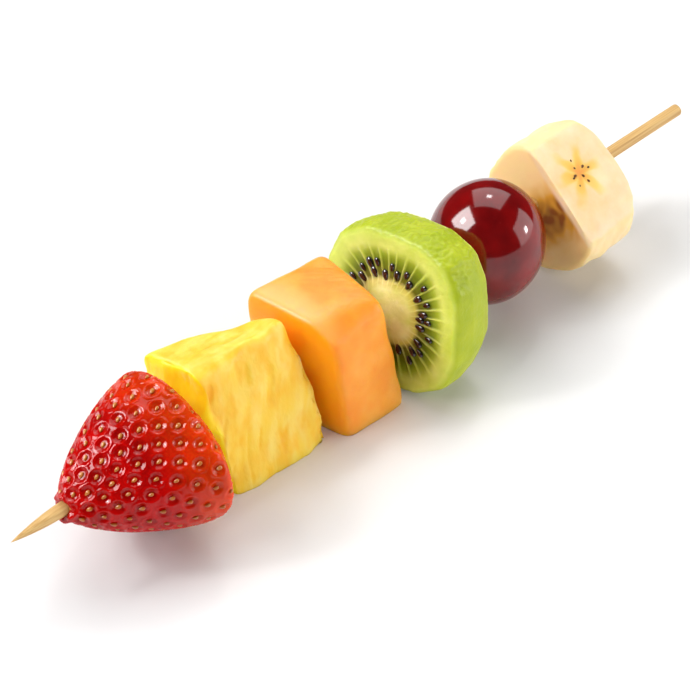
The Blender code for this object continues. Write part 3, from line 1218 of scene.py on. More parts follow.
    def nearest(self, skin: Surface, nests: list[tuple]) -> np.ndarray:
        """Measure each point's distance from its nearest seed.

        Args:
            skin: The skin.
            nests: What sow returned.

        Returns:
            One distance for each point, as a share of the oval pit's radius in that direction.
        """
        tree = kdtree.KDTree(len(nests))
        for number, (place, _, _) in enumerate(nests):
            tree.insert(place, number)
        tree.balance()
        axes = []
        for _, ahead, out in nests:
            first = (ahead - out * ahead.dot(out)).normalized()
            axes.append((first, out.cross(first)))
        oval = np.empty(len(skin.points))
        for row, point in enumerate(skin.points):
            spot = Vector(point)
            place, number, _ = tree.find(spot)
            away = spot - place
            first, second = axes[number]
            long_way = away.dot(first) / (0.5 * self.pit_length)
            short_way = away.dot(second) / (0.5 * self.pit_width)
            oval[row] = math.hypot(long_way, short_way)
        return oval

    def plant(self, nests: list[tuple]) -> None:
        """Set a seed in each pit, its point towards the apex.

        Args:
            nests: What sow returned.
        """
        frames = []
        for number, (place, ahead, out) in enumerate(nests):
            turn = Matrix.Rotation(0.35 * math.sin(number * 2.4), 3, out)
            size = Vector(self.seed_size) * MM * (1.0 + 0.12 * math.sin(number * 5.1))
            bed = place - out * (self.pit_depth - self.seed_sinking)
            if bed.z > self.floor:
                frames.append(standing(bed, turn @ ahead, out, size))
        seeds = scatter(seed_shape(self.seed_narrowing), frames)
        publish(seeds, "strawberry_seeds", Part.STRAWBERRY, Achene(), self.tip)


@dataclass
class Pineapple:
    """The pineapple: a wedge-shaped chunk whose fibres leave furrows and ragged edges."""

    tip: Vector
    floor: float
    squareness: float = 16.0
    cells: int = 84
    strand_width: float = 2.4 * MM
    strand_length: float = 8.0 * MM
    strand_depth: float = 0.11 * MM
    collar: float = 3.2 * MM
    collar_width: float = 3.4 * MM
    thread_width: float = 0.9 * MM
    thread_depth: float = 0.04 * MM
    tear_depth: float = 0.22 * MM
    bite_depth: float = 1.0 * MM
    fan: float = -0.2
    fan_middle: float = 62.0
    ridge: tuple[float, float, float] = (62.0, -3.4, 9.6)
    ridge_normal: tuple[float, float, float] = (0.0, -0.64, 0.768)
    ridge_softness: float = 1.9 * MM
    ridge_calm: tuple[float, float] = (-4.0 * MM, -1.5 * MM)
    unevenness: tuple[float, float] = (1.0 * MM, 7.0 * MM)
    tear_width: float = 1.7 * MM
    tear_range: tuple[float, float] = (0.28, 0.55)
    ragged_size: float = 2.4 * MM
    ragged_depth: float = 0.45 * MM
    bite_size: float = 1.0 * MM
    bite_range: tuple[float, float] = (-0.05, 0.3)
    bite_side: tuple[float, float] = (58.0 * MM, 66.0 * MM)

    @staticmethod
    def corners() -> dict[tuple, tuple]:
        """Place the chunk's eight corners.

        Returns:
            Each corner in millimetres, named by its side along X, Y and Z.
        """
        return {
            (-1, -1, -1): (52.4, -7.4, -20.0), (1, -1, -1): (77.6, -8.2, -20.0),
            (-1, 1, -1): (49.0, 13.5, -20.0), (1, 1, -1): (75.0, 9.0, -20.0),
            (-1, -1, 1): (48.8, -1.8, 12.6), (1, -1, 1): (72.4, -0.8, 13.2),
            (-1, 1, 1): (46.6, 14.8, 10.2), (1, 1, 1): (72.6, 5.2, 9.6),
        }

    def strands(
        self, points: np.ndarray, normals: np.ndarray, width: float, offset: float
    ) -> np.ndarray:
        """Return noise drawn out along the fibres of each side.

        Args:
            points: The chunk's points.
            normals: Its outward directions.
            width: Width of a strand in metres.
            offset: Picks another part of the noise.

        Returns:
            One value for each point, between about -1 and 1.
        """
        length = self.strand_length
        fanned = points.copy()
        spreading = 1.0 + 0.03 * (points[:, 0] / MM - self.fan_middle)
        fanned[:, 0] += self.fan * points[:, 2] * spreading
        upright = grain(fanned, np.array((width, 4.0 * width, length)), offset)
        lying = grain(points, np.array((length, width, 4.0 * width)), offset + 5.0)
        ends = grain(points, np.array((4.0 * width, width, length)), offset + 9.0)
        facing = np.abs(normals) ** 4
        facing /= facing.sum(axis=1, keepdims=True)
        return ends * facing[:, 0] + upright * facing[:, 1] + lying * facing[:, 2]

    def build(self) -> None:
        """Make the chunk."""
        chunk = rounded_block(self.corners(), self.squareness, self.cells)
        chunk.points = drift(chunk.points, *self.unevenness, 11.0)
        ridge = np.array(self.ridge) * MM
        along_ridge = (chunk.points - ridge) @ np.array(self.ridge_normal)
        chunk.points = soft_cut(chunk.points, ridge, self.ridge_normal, self.ridge_softness)
        normals = chunk.normals()
        strands = self.strands(chunk.points, normals, self.strand_width, 1.0)
        threads = self.strands(chunk.points, normals, self.thread_width, 21.0)
        torn = self.strands(chunk.points, normals, self.tear_width, 40.0)
        tears = smooth_step(*self.tear_range, torn)
        near = smooth_step(*NEAR_FACING, -normals[:, 0])
        height = self.strand_depth * strands + self.thread_depth * threads - self.tear_depth * tears
        height += self.ragged(chunk, along_ridge)
        height += dragged_flesh(chunk.points, self.collar, self.collar_width) * near
        chunk.push(height)
        chunk.rest(self.floor)
        tone = 0.68 + 0.34 * strands + 0.16 * threads - 0.35 * tears
        chunk.marks["strand"] = np.clip(tone, 0.0, 1.0)
        # Painted shade on the near face, which the strawberry shades.
        chunk.marks["deep"] = near
        publish(chunk, "pineapple_chunk", Part.PINEAPPLE, PineappleFlesh(), self.tip)

    def ragged(self, chunk: Surface, along_ridge: np.ndarray) -> np.ndarray:
        """Tear the cut edges, and bite small pieces out of those on the far side.

        Args:
            chunk: The chunk. Its mark edge is used up.
            along_ridge: How far each point is past the soft ridge, which stays whole.

        Returns:
            One height in metres for each point.
        """
        edge = chunk.marks.pop("edge") * (1.0 - smooth_step(*self.ridge_calm, along_ridge))
        uneven = grain(chunk.points, self.ragged_size, 33.0) * self.ragged_depth * edge
        bites = smooth_step(*self.bite_range, grain(chunk.points, self.bite_size, 35.0))
        far_edges = smooth_step(*self.bite_side, chunk.points[:, 0])
        return uneven - bites * self.bite_depth * edge * far_edges


@dataclass
class Melon:
    """The melon: a tapered block with soft edges and fine drag marks from the knife on top."""

    tip: Vector
    floor: float
    squareness: float = 10.0
    cells: int = 80
    mark_depth: float = 0.14 * MM
    mark_width: float = 0.9 * MM
    mark_length: float = 7.0 * MM
    ridge: tuple[float, float, float] = (85.0, -8.6, 9.4)
    ridge_normal: tuple[float, float, float] = (-0.15, -0.64, 0.76)
    ridge_softness: float = 0.9 * MM
    collar: float = 0.9 * MM
    collar_width: float = 3.4 * MM
    unevenness: tuple[float, float] = (0.35 * MM, 8.0 * MM)
    mark_side: tuple[float, float] = (80.0 * MM, 92.0 * MM)
    mark_skew: float = 0.4
    foot: tuple[float, float] = (1.0 * MM, 3.5 * MM)
    ragged_size: float = 1.3 * MM
    ragged_depth: float = 0.35 * MM
    swelling_size: float = 4.0 * MM
    swelling_depth: float = 0.10 * MM
    # Strength and reach of the painted sheen on the top's near edge.
    painted_sheen_strength: float = 0.75
    painted_sheen_side: tuple[float, float] = (76.0 * MM, 84.0 * MM)

    @staticmethod
    def corners() -> dict[tuple, tuple]:
        """Place the block's eight corners.

        Returns:
            Each corner in millimetres, named by its side along X, Y and Z.
        """
        return {
            (-1, -1, -1): (80.6, -10.8, -20.5), (1, -1, -1): (97.6, -11.4, -20.5),
            (-1, 1, -1): (77.4, 12.0, -20.5), (1, 1, -1): (96.4, 11.0, -20.5),
            (-1, -1, 1): (77.0, -9.9, 11.0), (1, -1, 1): (92.0, -9.4, 11.0),
            (-1, 1, 1): (73.8, 13.2, 11.0), (1, 1, 1): (95.4, 11.2, 11.2),
        }

    def build(self) -> None:
        """Make the block."""
        block = rounded_block(self.corners(), self.squareness, self.cells)
        block.points = drift(block.points, *self.unevenness, 5.0)
        ridge = np.array(self.ridge) * MM
        block.points = soft_cut(block.points, ridge, self.ridge_normal, self.ridge_softness)
        normals = block.normals()
        x, y, z = block.points.T
        edge = block.marks.pop("edge")
        top = np.clip(normals[:, 2], 0.0, 1.0) ** 3
        near = smooth_step(*NEAR_FACING, -normals[:, 0])
        slanting = ((x - y) / self.mark_length, (x + y) / self.mark_width, z / self.mark_length)
        lines = grain(np.stack(slanting, axis=1), 1.0, 14.0)
        far_side = smooth_step(*self.mark_side, x + self.mark_skew * y)
        low = 1.0 - smooth_step(self.floor + self.foot[0], self.floor + self.foot[1], z)
        height = self.mark_depth * lines * top * far_side
        height += grain(block.points, self.ragged_size, 18.0) * self.ragged_depth * edge * low
        height += grain(block.points, self.swelling_size, 23.0) * self.swelling_depth
        height += dragged_flesh(block.points, self.collar, self.collar_width) * near
        block.push(height)
        block.rest(self.floor)
        # Painted shade on the near face, which the pineapple shades.
        block.marks["deep"] = near
        # Painted sheen along the top's near edge.
        block.marks["pale"] = self.painted_sheen_strength * top * (1.0 - smooth_step(*self.painted_sheen_side, x))
        publish(block, "melon_block", Part.MELON, MelonFlesh(), self.tip)


@dataclass
class Kiwi:
    """The kiwi: a peeled slice with knife flats round it and a wet face full of rays."""

    tip: Vector
    floor: float
    face: float = 101.4 * MM
    thickness: float = 14.0 * MM
    radius: float = 19.3 * MM
    flats: int = 16
    squaring: float = 0.062
    corner_angle: float = math.radians(37.0)
    corner_wear: float = math.radians(4.0)
    lean_y: float = -0.065
    lean_z: float = 0.165
    centre: tuple[float, float, float] = (0.0, -2.5, -1.2)
    sectors: int = 544
    face_rings: int = 64
    side_rings: int = 46
    back_rings: int = 14
    pockets: int = 34
    heart: float = 0.385
    heart_height: float = 0.25 * MM
    collar: float = 3.4 * MM
    collar_width: float = 3.6 * MM
    ray_height: float = 0.32 * MM
    seed_size: tuple[float, float, float] = (1.22, 0.70, 0.45)
    seed_narrowing: float = -0.32
    side_depths: tuple[float, ...] = (0.0, 0.015, 0.04, 0.08, 0.14, 0.40, 0.72, 1.0)
    side_shares: tuple[float, ...] = (0.925, 0.962, 0.983, 0.995, 1.0, 1.0, 0.95, 0.84)
    rim_depth: float = 0.14
    rim_rings: int = 8
    straightening: float = 0.6
    ray_edge: tuple[float, float] = (0.60, 1.0)
    ray_strength: float = 0.85
    ray_end: tuple[float, float] = (0.66, 0.92)
    pocket_end: tuple[float, float] = (0.66, 0.9)
    seed_rows: tuple[float, float] = (0.575, 0.475)
    twin_rows: tuple[float, float] = (0.57, 0.46)
    peeled_top: tuple[float, float] = (8.0 * MM, 14.0 * MM)
    peeled_size: tuple[float, float, float] = (1.1, 0.8, 0.8)

    def corner_radii(self) -> np.ndarray:
        """Work out how far the corners between the knife flats are from the middle.

        Returns:
            One radius in metres for each corner.
        """
        radii = []
        for number in range(self.flats):
            angle = number * 2.0 * math.pi / self.flats + self.corner_angle
            squared = 1.0 + self.squaring * math.cos(4.0 * (angle - self.corner_angle))
            wobble = noise.noise(Vector((3.0 * math.cos(angle), 3.0 * math.sin(angle), 0.0)))
            radii.append(self.radius * (squared + 0.02 * wobble))
        return np.array(radii)

    def section(self, angles: np.ndarray) -> np.ndarray:
        """Draw the slice's outline, with straight flats between its corners.

        Args:
            angles: Directions from the middle, in radians.

        Returns:
            One radius in metres for each direction.
        """
        radii = self.corner_radii()
        width = 2.0 * math.pi / self.flats
        turned_by = (angles - self.corner_angle) % (2.0 * math.pi)
        number = np.floor(turned_by / width).astype(int) % self.flats
        part = turned_by - number * width
        first = radii[number]
        second = radii[(number + 1) % self.flats]
        straight = first * second * math.sin(width)
        return straight / (first * np.sin(part) + second * np.sin(width - part))

    def soft_section(self, angles: np.ndarray) -> np.ndarray:
        """Return the slice's outline with its corners worn round."""
        taps = np.linspace(-self.corner_wear, self.corner_wear, 9)
        return np.mean([self.section(angles + tap) for tap in taps], axis=0)

    def build(self) -> None:
        """Make the slice and its seeds."""
        first, last = self.side_shares[0], self.side_shares[-1]
        face = [(0.0, share) for share in np.linspace(0.0, first, self.face_rings)]
        rim_depths = np.linspace(0.0, self.rim_depth, self.rim_rings)[1:]
        flank_depths = np.linspace(self.rim_depth, 1.0, self.side_rings)[1:]
        depths = np.concatenate((rim_depths, flank_depths))
        side = list(zip(depths, np.interp(depths, self.side_depths, self.side_shares)))
        back = [(1.0, share) for share in np.linspace(last, 0.0, self.back_rings)[1:]]
        outline = np.array(face + side + back)
        slice_ = turned(outline, self.sectors, self.soft_section)
        depth = slice_.points[:, 0].copy()
        y = slice_.points[:, 1]
        z = slice_.points[:, 2]
        angle = np.arctan2(z, y)
        share = np.hypot(y, z) / self.soft_section(angle)
        share[[0, -1]] = 0.0
        lean = (1.0 - self.straightening * depth) * (self.lean_y * y + self.lean_z * z)
        slice_.points[:, 0] = self.face + self.thickness * depth + lean
        slice_.points += np.array(self.centre) * MM
        ray = self.rays(angle, share)
        flat = (1.0 - smooth_step(0.01, 0.09, depth)) + smooth_step(0.97, 1.0, depth)
        on_face = np.clip(flat, 0.0, 1.0)
        slice_.marks["radius"] = share * on_face + 1.0 - on_face
        slice_.marks["ray"] = ray * on_face
        slice_.push(self.face_relief(slice_.points, ray, share) * on_face)
        slice_.push(self.peeled_relief(slice_.points) * (1.0 - on_face))
        slice_.rest(self.floor)
        publish(slice_, "kiwi_slice", Part.KIWI, KiwiFlesh(), self.tip)
        self.sow()

    def pocket_angles(self) -> np.ndarray:
        """Spread the seed pockets round the slice, unevenly, as they grow.

        Returns:
            The middle angle of each pocket, in radians.
        """
        number = np.arange(self.pockets)
        sway = 0.13 * np.sin(number * 2.7) + 0.08 * np.sin(number * 5.3 + 1.0)
        return (number + sway) * (2.0 * math.pi / self.pockets)

    def rays(self, angle: np.ndarray, share: np.ndarray) -> np.ndarray:
        """Draw the pale rays between the pockets.

        Args:
            angle: Direction from the middle, in radians.
            share: Distance from the middle, as a share of the outline's radius.

        Returns:
            One value for each point: 1 on a ray or near the rim, and 0 in a pocket.
        """
        pockets = np.sort(self.pocket_angles() % (2.0 * math.pi))
        whole = 2.0 * math.pi
        wrapped = np.concatenate((pockets[-1:] - whole, pockets, pockets[:1] + whole))
        place = angle % (2.0 * math.pi)
        after = np.searchsorted(wrapped, place)
        before = np.clip(after - 1, 0, len(wrapped) - 1)
        after = np.clip(after, 0, len(wrapped) - 1)
        gap = np.maximum(wrapped[after] - wrapped[before], 1e-6)
        part = (place - wrapped[before]) / gap
        between = 1.0 - np.abs(2.0 * part - 1.0)
        strength = smooth_step(*self.ray_edge, between)
        fading = 1.0 - smooth_step(*self.ray_end, share)
        return self.ray_strength * strength * fading + (1.0 - fading)

    def face_relief(self, points: np.ndarray, ray: np.ndarray, share: np.ndarray) -> np.ndarray:
        """Raise the cut face: heart and rays stand up, and pockets are sunk.

        Args:
            points: Places in metres, one row each.
            ray: What rays returned.
            share: Distance from the middle, as a share of the outline's radius.

        Returns:
            One height in metres for each point.
        """
        seedy = smooth_step(self.heart - 0.02, self.heart + 0.06, share)
        seedy *= 1.0 - smooth_step(*self.pocket_end, share)
        heart = 1.0 - smooth_step(self.heart - 0.10, self.heart + 0.04, share)
        fibres = grain(points, 1.1 * MM, 51.0) * 0.09 * MM
        near = points[:, 0] < self.face + 0.5 * self.thickness
        dragged = dragged_flesh(points, self.collar, self.collar_width) * near
        return self.heart_height * heart + self.ray_height * (ray - 1.0) * seedy + fibres + dragged

    def peeled_relief(self, points: np.ndarray) -> np.ndarray:
        """Roughen the peeled outside, coarse on top and smoother down the sides.

        Args:
            points: Places in metres, one row each.

        Returns:
            One height in metres for each point.
        """
        coarse = smooth_step(*self.peeled_top, points[:, 2])
        bumps = grain(points, np.array(self.peeled_size) * MM, 61.0)
        return bumps * (0.05 + 0.23 * coarse) * MM

    def sow(self) -> None:
        """Set the seeds in their pockets, in two staggered rows round the heart."""
        out = Vector((-1.0, self.lean_y, self.lean_z)).normalized()
        frames = []
        for number, angle in enumerate(self.pocket_angles()):
            rows = self.twin_rows if number % 11 == 5 else (self.seed_rows[number % 2],)
            for row in rows:
                share = row + 0.022 * math.sin(number * 4.3)
                swing = angle + 0.02 * math.sin(number * 7.7 + row * 40.0)
                reach = share * float(self.soft_section(np.array([swing]))[0])
                y = reach * math.cos(swing)
                z = reach * math.sin(swing)
                x = self.face + self.lean_y * y + self.lean_z * z
                place = Vector((x, y, z)) + Vector(self.centre) * MM
                inwards = -Vector((0.0, math.cos(swing), math.sin(swing)))
                fuller = 1.0 + 0.14 * math.sin(number * 3.1 + row * 9.0)
                size = Vector(self.seed_size) * MM * fuller
                frames.append(standing(place + out * 0.02 * MM, inwards, out, size))
        seeds = scatter(seed_shape(self.seed_narrowing), frames)
        publish(seeds, "kiwi_seeds", Part.KIWI, KiwiSeedCoat(), self.tip)


@dataclass
class Grape:
    """The grape: whole, slightly oval and a little fuller on top."""

    tip: Vector
    floor: float
    middle: float = 134.2 * MM
    radii: tuple[float, float, float] = (13.3, 13.0, 14.6)
    fullness: float = 0.02
    centre: tuple[float, float, float] = (0.0, -1.0, -1.3)
    dimple_width: float = 3.2 * MM
    dimple_depth: float = 0.9 * MM
    swelling_size: float = 11.0 * MM
    swelling_depth: float = 0.12 * MM
    rings: int = 110
    sectors: int = 180

    def build(self) -> None:
        """Make the grape's skin, drawn in where the stick goes through it."""
        turns = np.linspace(0.0, math.pi, self.rings)
        outline = np.stack((-np.cos(turns), np.sin(turns)), axis=1)
        outline[[0, -1], 1] = 0.0
        skin = turned(outline, self.sectors, np.ones_like)
        fuller = 1.0 + self.fullness * skin.points[:, 2]
        shape = skin.points * np.array(self.radii) * MM
        shape[:, :2] *= fuller[:, None]
        skin.points = shape + np.array(self.centre) * MM + np.array((self.middle, 0.0, 0.0))
        from_stick = np.hypot(skin.points[:, 1], skin.points[:, 2])
        dimple = np.exp(-((from_stick / self.dimple_width) ** 2)) * self.dimple_depth
        skin.push(grain(skin.points, self.swelling_size, 71.0) * self.swelling_depth - dimple)
        skin.rest(self.floor)
        publish(skin, "grape_skin", Part.GRAPE, GrapeSkin(), self.tip)


@dataclass
class Banana:
    """The banana: a thick round chunk with a second, slanting cut that shows its star."""

    tip: Vector
    floor: float
    face: float = 151.1 * MM
    back: float = 170.4 * MM
    radius: float = 15.9 * MM
    taper: float = 0.3 * MM
    near_rounding: float = 1.2 * MM
    far_rounding: float = 5.6 * MM
    ridges: int = 5
    ridge_depth: float = 0.014
    ridge_phase: float = 0.5
    centre: tuple[float, float, float] = (0.0, -1.7, -1.4)
    cut_distance: float = 9.6 * MM
    cut_normal: tuple[float, float, float] = (0.0, -0.64, 0.76)
    cut_softness: float = 1.5 * MM
    lump_height: float = 0.5 * MM
    face_share: float = 0.985
    shoulder: float = 6.0 * MM
    unevenness: tuple[float, float] = (0.35 * MM, 10.0 * MM)
    cut_edge: tuple[float, float] = (-0.2 * MM, 0.9 * MM)
    face_edge: tuple[float, float] = (0.3 * MM, 1.0 * MM)
    string_size: tuple[float, float, float] = (9.0, 1.2, 1.2)
    lump_size: float = 3.4 * MM
    # Place and width of the darkest band on the near face: browned flesh and painted shade.
    brown_shade_band: float = 4.5 * MM
    brown_shade_width: float = 5.5 * MM
    star_middle: float = 159.0 * MM
    star_rays: int = 6
    star_reach: tuple[float, float, float] = (4.8, 2.8, 1.8)
    star_glow: float = 2.8 * MM
    specks: int = 9
    speck_size: tuple[float, float, float] = (0.36, 0.24, 0.18)
    speck_narrowing: float = 0.2
    speck_reach: tuple[float, float] = (2.2, 1.1)
    rings: int = 150
    sectors: int = 320

    def outline(self) -> np.ndarray:
        """Draw the chunk: flat near face, full side and a rounded far edge.

        Returns:
            Rows of place and radius.
        """
        near = self.near_rounding
        far = self.far_rounding
        corners = [(self.face, 0.0)]
        for turn in np.linspace(0.0, 0.5 * math.pi, 8):
            along = near * (1.0 - math.cos(turn))
            drop = near * (1.0 - math.sin(turn))
            corners.append((self.face + along, self.face_share * self.radius - drop))
        corners.append((self.face + self.shoulder, self.radius))
        for turn in np.linspace(0.0, 0.5 * math.pi, 14):
            along = far * (1.0 - math.sin(turn))
            drop = self.taper + far * (1.0 - math.cos(turn))
            corners.append((self.back - along, self.radius - drop))
        corners.append((self.back, 0.0))
        return even_outline(corners, self.rings, 0.8 * MM)

    def section(self, angles: np.ndarray) -> np.ndarray:
        """Return the chunk's blunt ridges as shares of its radius.

        Args:
            angles: Directions from the middle, in radians.

        Returns:
            One share for each direction.
        """
        return 1.0 + self.ridge_depth * np.cos(self.ridges * angles + self.ridge_phase)

    def build(self) -> None:
        """Make the chunk, its slanting cut, its star and its seeds."""
        chunk = turned(self.outline(), self.sectors, self.section)
        chunk.points += np.array(self.centre) * MM
        chunk.points = drift(chunk.points, *self.unevenness, 7.0)
        normal = Vector(self.cut_normal).normalized()
        origin = Vector((0.5 * (self.face + self.back), 0.0, 0.0)) + normal * self.cut_distance
        beyond = (chunk.points - np.array(origin)) @ np.array(normal)
        chunk.points = soft_cut(chunk.points, origin, normal, self.cut_softness)
        on_cut = smooth_step(*self.cut_edge, beyond)
        middle = Vector((self.star_middle, 0.0, 0.0)) + normal * self.cut_distance
        star = self.star(chunk.points, middle, normal)
        on_near = 1.0 - smooth_step(*self.face_edge, chunk.points[:, 0] - self.face)
        chunk.marks["star"] = np.clip(star * on_cut, 0.0, 1.0)
        chunk.marks["rim"] = (1.0 - on_cut) * (1.0 - on_near)
        # The near face is coloured as partly browned flesh and partly painted shade.
        chunk.marks["near"] = on_near * (1.0 - smooth_step(-2.4 * MM, -0.4 * MM, beyond))
        chunk.marks["age"] = self.browning_and_shade(chunk.points)
        strings = grain(chunk.points, np.array(self.string_size) * MM, 81.0) * 0.10 * MM
        lumps = grain(chunk.points, self.lump_size, 83.0) * self.lump_height
        peeled = (strings + lumps) * (1.0 - on_cut) * (1.0 - on_near)
        chunk.push(peeled + grain(chunk.points, 2.5 * MM, 85.0) * 0.06 * MM)
        chunk.rest(self.floor)
        publish(chunk, "banana_chunk", Part.BANANA, BananaFlesh(), self.tip)
        self.sow(chunk, origin, normal)

    def browning_and_shade(self, points: np.ndarray) -> np.ndarray:
        """Brown and darken the near face, partly as browned flesh and partly as painted shade, most
        in a slanting band and in curved streaks.

        Args:
            points: Places in metres, one row each.

        Returns:
            One value for each point: 0 in fresh, lit flesh and 1 in brown and shade.
        """
        wander = grain(points, 4.0 * MM, 98.0) * 2.5 * MM
        around = np.hypot(points[:, 1], points[:, 2]) + wander
        drawn = np.stack((points[:, 0], 0.3 * points[:, 1], around), axis=1)
        streaks = grain(drawn, 1.4 * MM, 97.0) + grain(points, 2.0 * MM, 99.0)
        slant = (points[:, 1] + points[:, 2]) * math.sqrt(0.5)
        band = np.exp(-(((slant + self.brown_shade_band) / self.brown_shade_width) ** 2))
        return np.clip(0.04 + 0.92 * band + 0.35 * streaks * band, 0.0, 1.0)

    def star(self, points: np.ndarray, middle: Vector, normal: Vector) -> np.ndarray:
        """Return the strength of the star of seed chambers about a middle on a cut.

        Args:
            points: The chunk's points.
            middle: The star's middle.
            normal: The outward direction of the cut.

        Returns:
            One value for each point: 1 in the heart of the star and 0 in plain flesh.
        """
        first = Vector((1.0, 0.0, 0.0))
        second = normal.cross(first)
        offset = points - np.array(middle)
        u = offset @ np.array(first)
        v = offset @ np.array(second)
        distance = np.hypot(u, v)
        angle = np.arctan2(v, u)
        swirl = grain(points, 3.0 * MM, 95.0)
        spokes = np.cos(self.star_rays * angle + 1.2 * swirl)
        plain, by_spoke, by_swirl = self.star_reach
        reach = (plain + by_spoke * spokes + by_swirl * swirl) * MM
        heart = 1.0 - smooth_step(0.1, 1.25, distance / np.maximum(reach, 1.6 * MM))
        glow = 0.5 * np.exp(-((distance / self.star_glow) ** 2))
        return 0.48 * heart + glow

    def sow(self, chunk: Surface, origin: Vector, normal: Vector) -> None:
        """Set the dark specks round the middle of the star.

        Args:
            chunk: The finished chunk.
            origin: A place on the cut.
            normal: The outward direction of the cut.
        """
        tree = kdtree.KDTree(len(chunk.points))
        for number, point in enumerate(chunk.points):
            tree.insert(Vector(point), number)
        tree.balance()
        middle = Vector((self.star_middle, origin.y, origin.z))
        first = Vector((1.0, 0.0, 0.0))
        second = normal.cross(first)
        frames = []
        mean_reach, swing = self.speck_reach
        for number in range(self.specks):
            turn = number * 2.0 * math.pi / self.specks + 0.5 * math.sin(number * 3.7)
            reach = (mean_reach + swing * math.sin(number * 2.3 + 1.0)) * MM
            place = middle + first * reach * math.cos(turn) + second * reach * math.sin(turn)
            away = (place - middle).normalized()
            size = Vector(self.speck_size) * MM * (1.0 + 0.3 * math.sin(number * 1.9))
            skin, _, _ = tree.find(place)
            place += normal * (skin - place).dot(normal)
            frames.append(standing(place, away, normal, size))
        seeds = scatter(seed_shape(self.speck_narrowing), frames)
        publish(seeds, "banana_seeds", Part.BANANA, BananaSeed(), self.tip)


# ---------------------------------------------------------------------------------------------
# The studio
# ---------------------------------------------------------------------------------------------


@dataclass(frozen=True)
class SoftBox:
    """A large square lamp, named by where it stands as seen from the fruit.

    Attributes:
        name: The lamp's name.
        direction: Way from the fruit to the lamp.
        width: Its width as an angle seen from the fruit, in degrees.
        height: Its height as an angle, in degrees.
        glow: Brightness of its face, where a white card in full light is about one.
        bulb: Brightness of the hot spot in its middle.
        mirrored: Whether wet skins mirror it. A polariser hides one that they don't.
        sheen: Further brightness that only mirror reflections show.
    """

    name: str
    direction: tuple[float, float, float]
    width: float
    height: float
    glow: float
    bulb: float = 0.0
    mirrored: bool = True
    sheen: float = 0.0


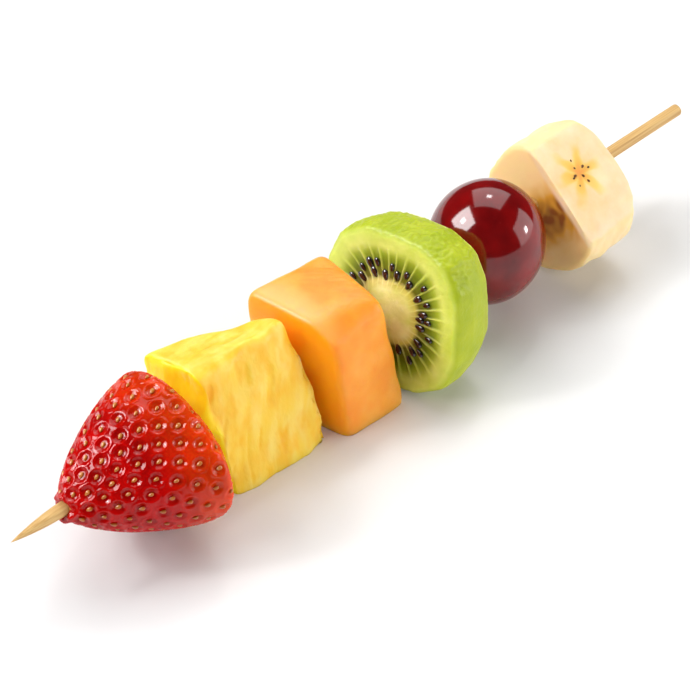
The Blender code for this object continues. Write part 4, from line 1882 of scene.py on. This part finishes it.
@dataclass
class Studio:
    """The pale floor, the lamps and the camera."""

    tip: Vector
    distance: float = 2.6
    layer_gap: float = 0.01
    floor_half: float = 6.0
    floor_drop: float = 0.02 * MM
    sky: float = 0.06
    azimuth: float = math.radians(-45.609)
    elevation: float = math.radians(40.0)
    aim: tuple[float, float, float] = (85.9, -4.5, 0.0)
    camera_distance: float = 479.4 * MM
    lens: float = 120.0
    bulb_size: float = 0.34
    lamps: tuple[SoftBox, ...] = (
        SoftBox("key_behind", (0.420, 0.300, 0.857), 52.0, 54.0, 2.3, 16.0),
        SoftBox("fill_left", (-0.600, 0.430, 0.674), 42.0, 36.0, 5.2, 40.0, sheen=8.0),
        SoftBox("fill_right", (0.690, -0.700, 0.190), 46.0, 46.0, 2.4, 26.0),
        SoftBox("fill_front", (-0.250, -0.880, 0.430), 60.0, 50.0, 1.1, mirrored=False),
    )

    def build(self) -> None:
        """Set the floor, the lamps, the even room light and the camera."""
        bpy.context.scene.view_settings.view_transform = "Standard"
        self.lay_floor()
        self.light_room()
        for lamp in self.lamps:
            self.hang(lamp)
        self.set_camera()

    def lay_floor(self) -> None:
        """Lay a wide pale board under the fruit."""
        half = self.floor_half
        corners = [(-half, -half, 0.0), (half, -half, 0.0), (half, half, 0.0), (-half, half, 0.0)]
        mesh = bpy.data.meshes.new("floor")
        mesh.from_pydata(corners, [], [(0, 1, 2, 3)])
        mesh.materials.append(WhiteBoard().make())
        floor = bpy.data.objects.new("floor", mesh)
        floor.location.z = -self.floor_drop
        bpy.context.scene.collection.objects.link(floor)
        floor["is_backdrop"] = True

    def light_room(self) -> None:
        """Fill the room with even white light."""
        world = bpy.data.worlds.new("room")
        world.use_nodes = True
        background = world.node_tree.nodes["Background"]
        background.inputs["Color"].default_value = linear("#ffffff")
        background.inputs["Strength"].default_value = self.sky
        bpy.context.scene.world = world

    def hang(self, lamp: SoftBox) -> None:
        """Hang a soft box, and before it the layers that add its sheen and its hot spot.

        Args:
            lamp: What to hang.
        """
        way = Vector(lamp.direction).normalized()
        middle = self.tip + Vector(self.aim) * MM
        width = 2.0 * self.distance * math.tan(math.radians(0.5 * lamp.width))
        height = 2.0 * self.distance * math.tan(math.radians(0.5 * lamp.height))
        place = middle + way * self.distance
        box = self.add_lamp(lamp.name, place, way, (width, height), lamp.glow)
        box.visible_glossy = lamp.mirrored
        if lamp.sheen:
            place = middle + way * (self.distance - self.layer_gap)
            sheen = self.add_lamp(f"{lamp.name}_sheen", place, way, (width, height), lamp.sheen)
            sheen.visible_diffuse = False
        if lamp.bulb:
            size = self.bulb_size
            place = middle + way * (self.distance - 2.0 * self.layer_gap)
            self.add_lamp(f"{lamp.name}_bulb", place, way, (size, size), lamp.bulb)

    def add_lamp(
        self, name: str, place: Vector, way: Vector, size: tuple[float, float], glow: float
    ) -> bpy.types.Object:
        """Add one rectangular lamp that faces the fruit.

        Args:
            name: The lamp's name.
            place: Where it stands.
            way: Way from the fruit to the lamp.
            size: Its width and height in metres.
            glow: Brightness of its face.

        Returns:
            The lamp.
        """
        data = bpy.data.lights.new(name, "AREA")
        data.shape = "RECTANGLE"
        data.size, data.size_y = size
        data.energy = glow * math.pi * size[0] * size[1]
        lamp = bpy.data.objects.new(name, data)
        lamp.location = place
        lamp.rotation_euler = way.to_track_quat("Z", "Y").to_euler()
        bpy.context.scene.collection.objects.link(lamp)
        return lamp

    def set_camera(self) -> None:
        """Stand the camera above the strawberry's side, looking along the row."""
        flat = math.cos(self.elevation)
        across, along = math.sin(self.azimuth) * flat, -math.cos(self.azimuth) * flat
        back = Vector((across, along, math.sin(self.elevation)))
        data = bpy.data.cameras.new("camera")
        data.lens = self.lens
        data.sensor_width = 36.0
        data.clip_start = 0.01
        data.clip_end = 50.0
        camera = bpy.data.objects.new("camera", data)
        camera.location = self.tip + Vector(self.aim) * MM + back * self.camera_distance
        camera.rotation_euler = (math.radians(90.0) - self.elevation, 0.0, self.azimuth)
        bpy.context.scene.collection.objects.link(camera)
        bpy.context.scene.camera = camera


def main() -> None:
    """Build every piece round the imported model, then the studio."""
    logging.basicConfig(level=logging.INFO, format="%(name)s: %(message)s")
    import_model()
    solid_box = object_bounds()
    low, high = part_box(Part.SKEWER.node)
    tip = Vector((low.x, 0.5 * (low.y + high.y), 0.5 * (low.z + high.z)))
    floor = solid_box[0].z - tip.z

    Stick(tip, high.x - low.x).build()
    for fruit in (Strawberry, Pineapple, Melon, Kiwi, Grape, Banana):
        fruit(tip, floor).build()
    Studio(tip).build()


if __name__ == "__main__":
    main()
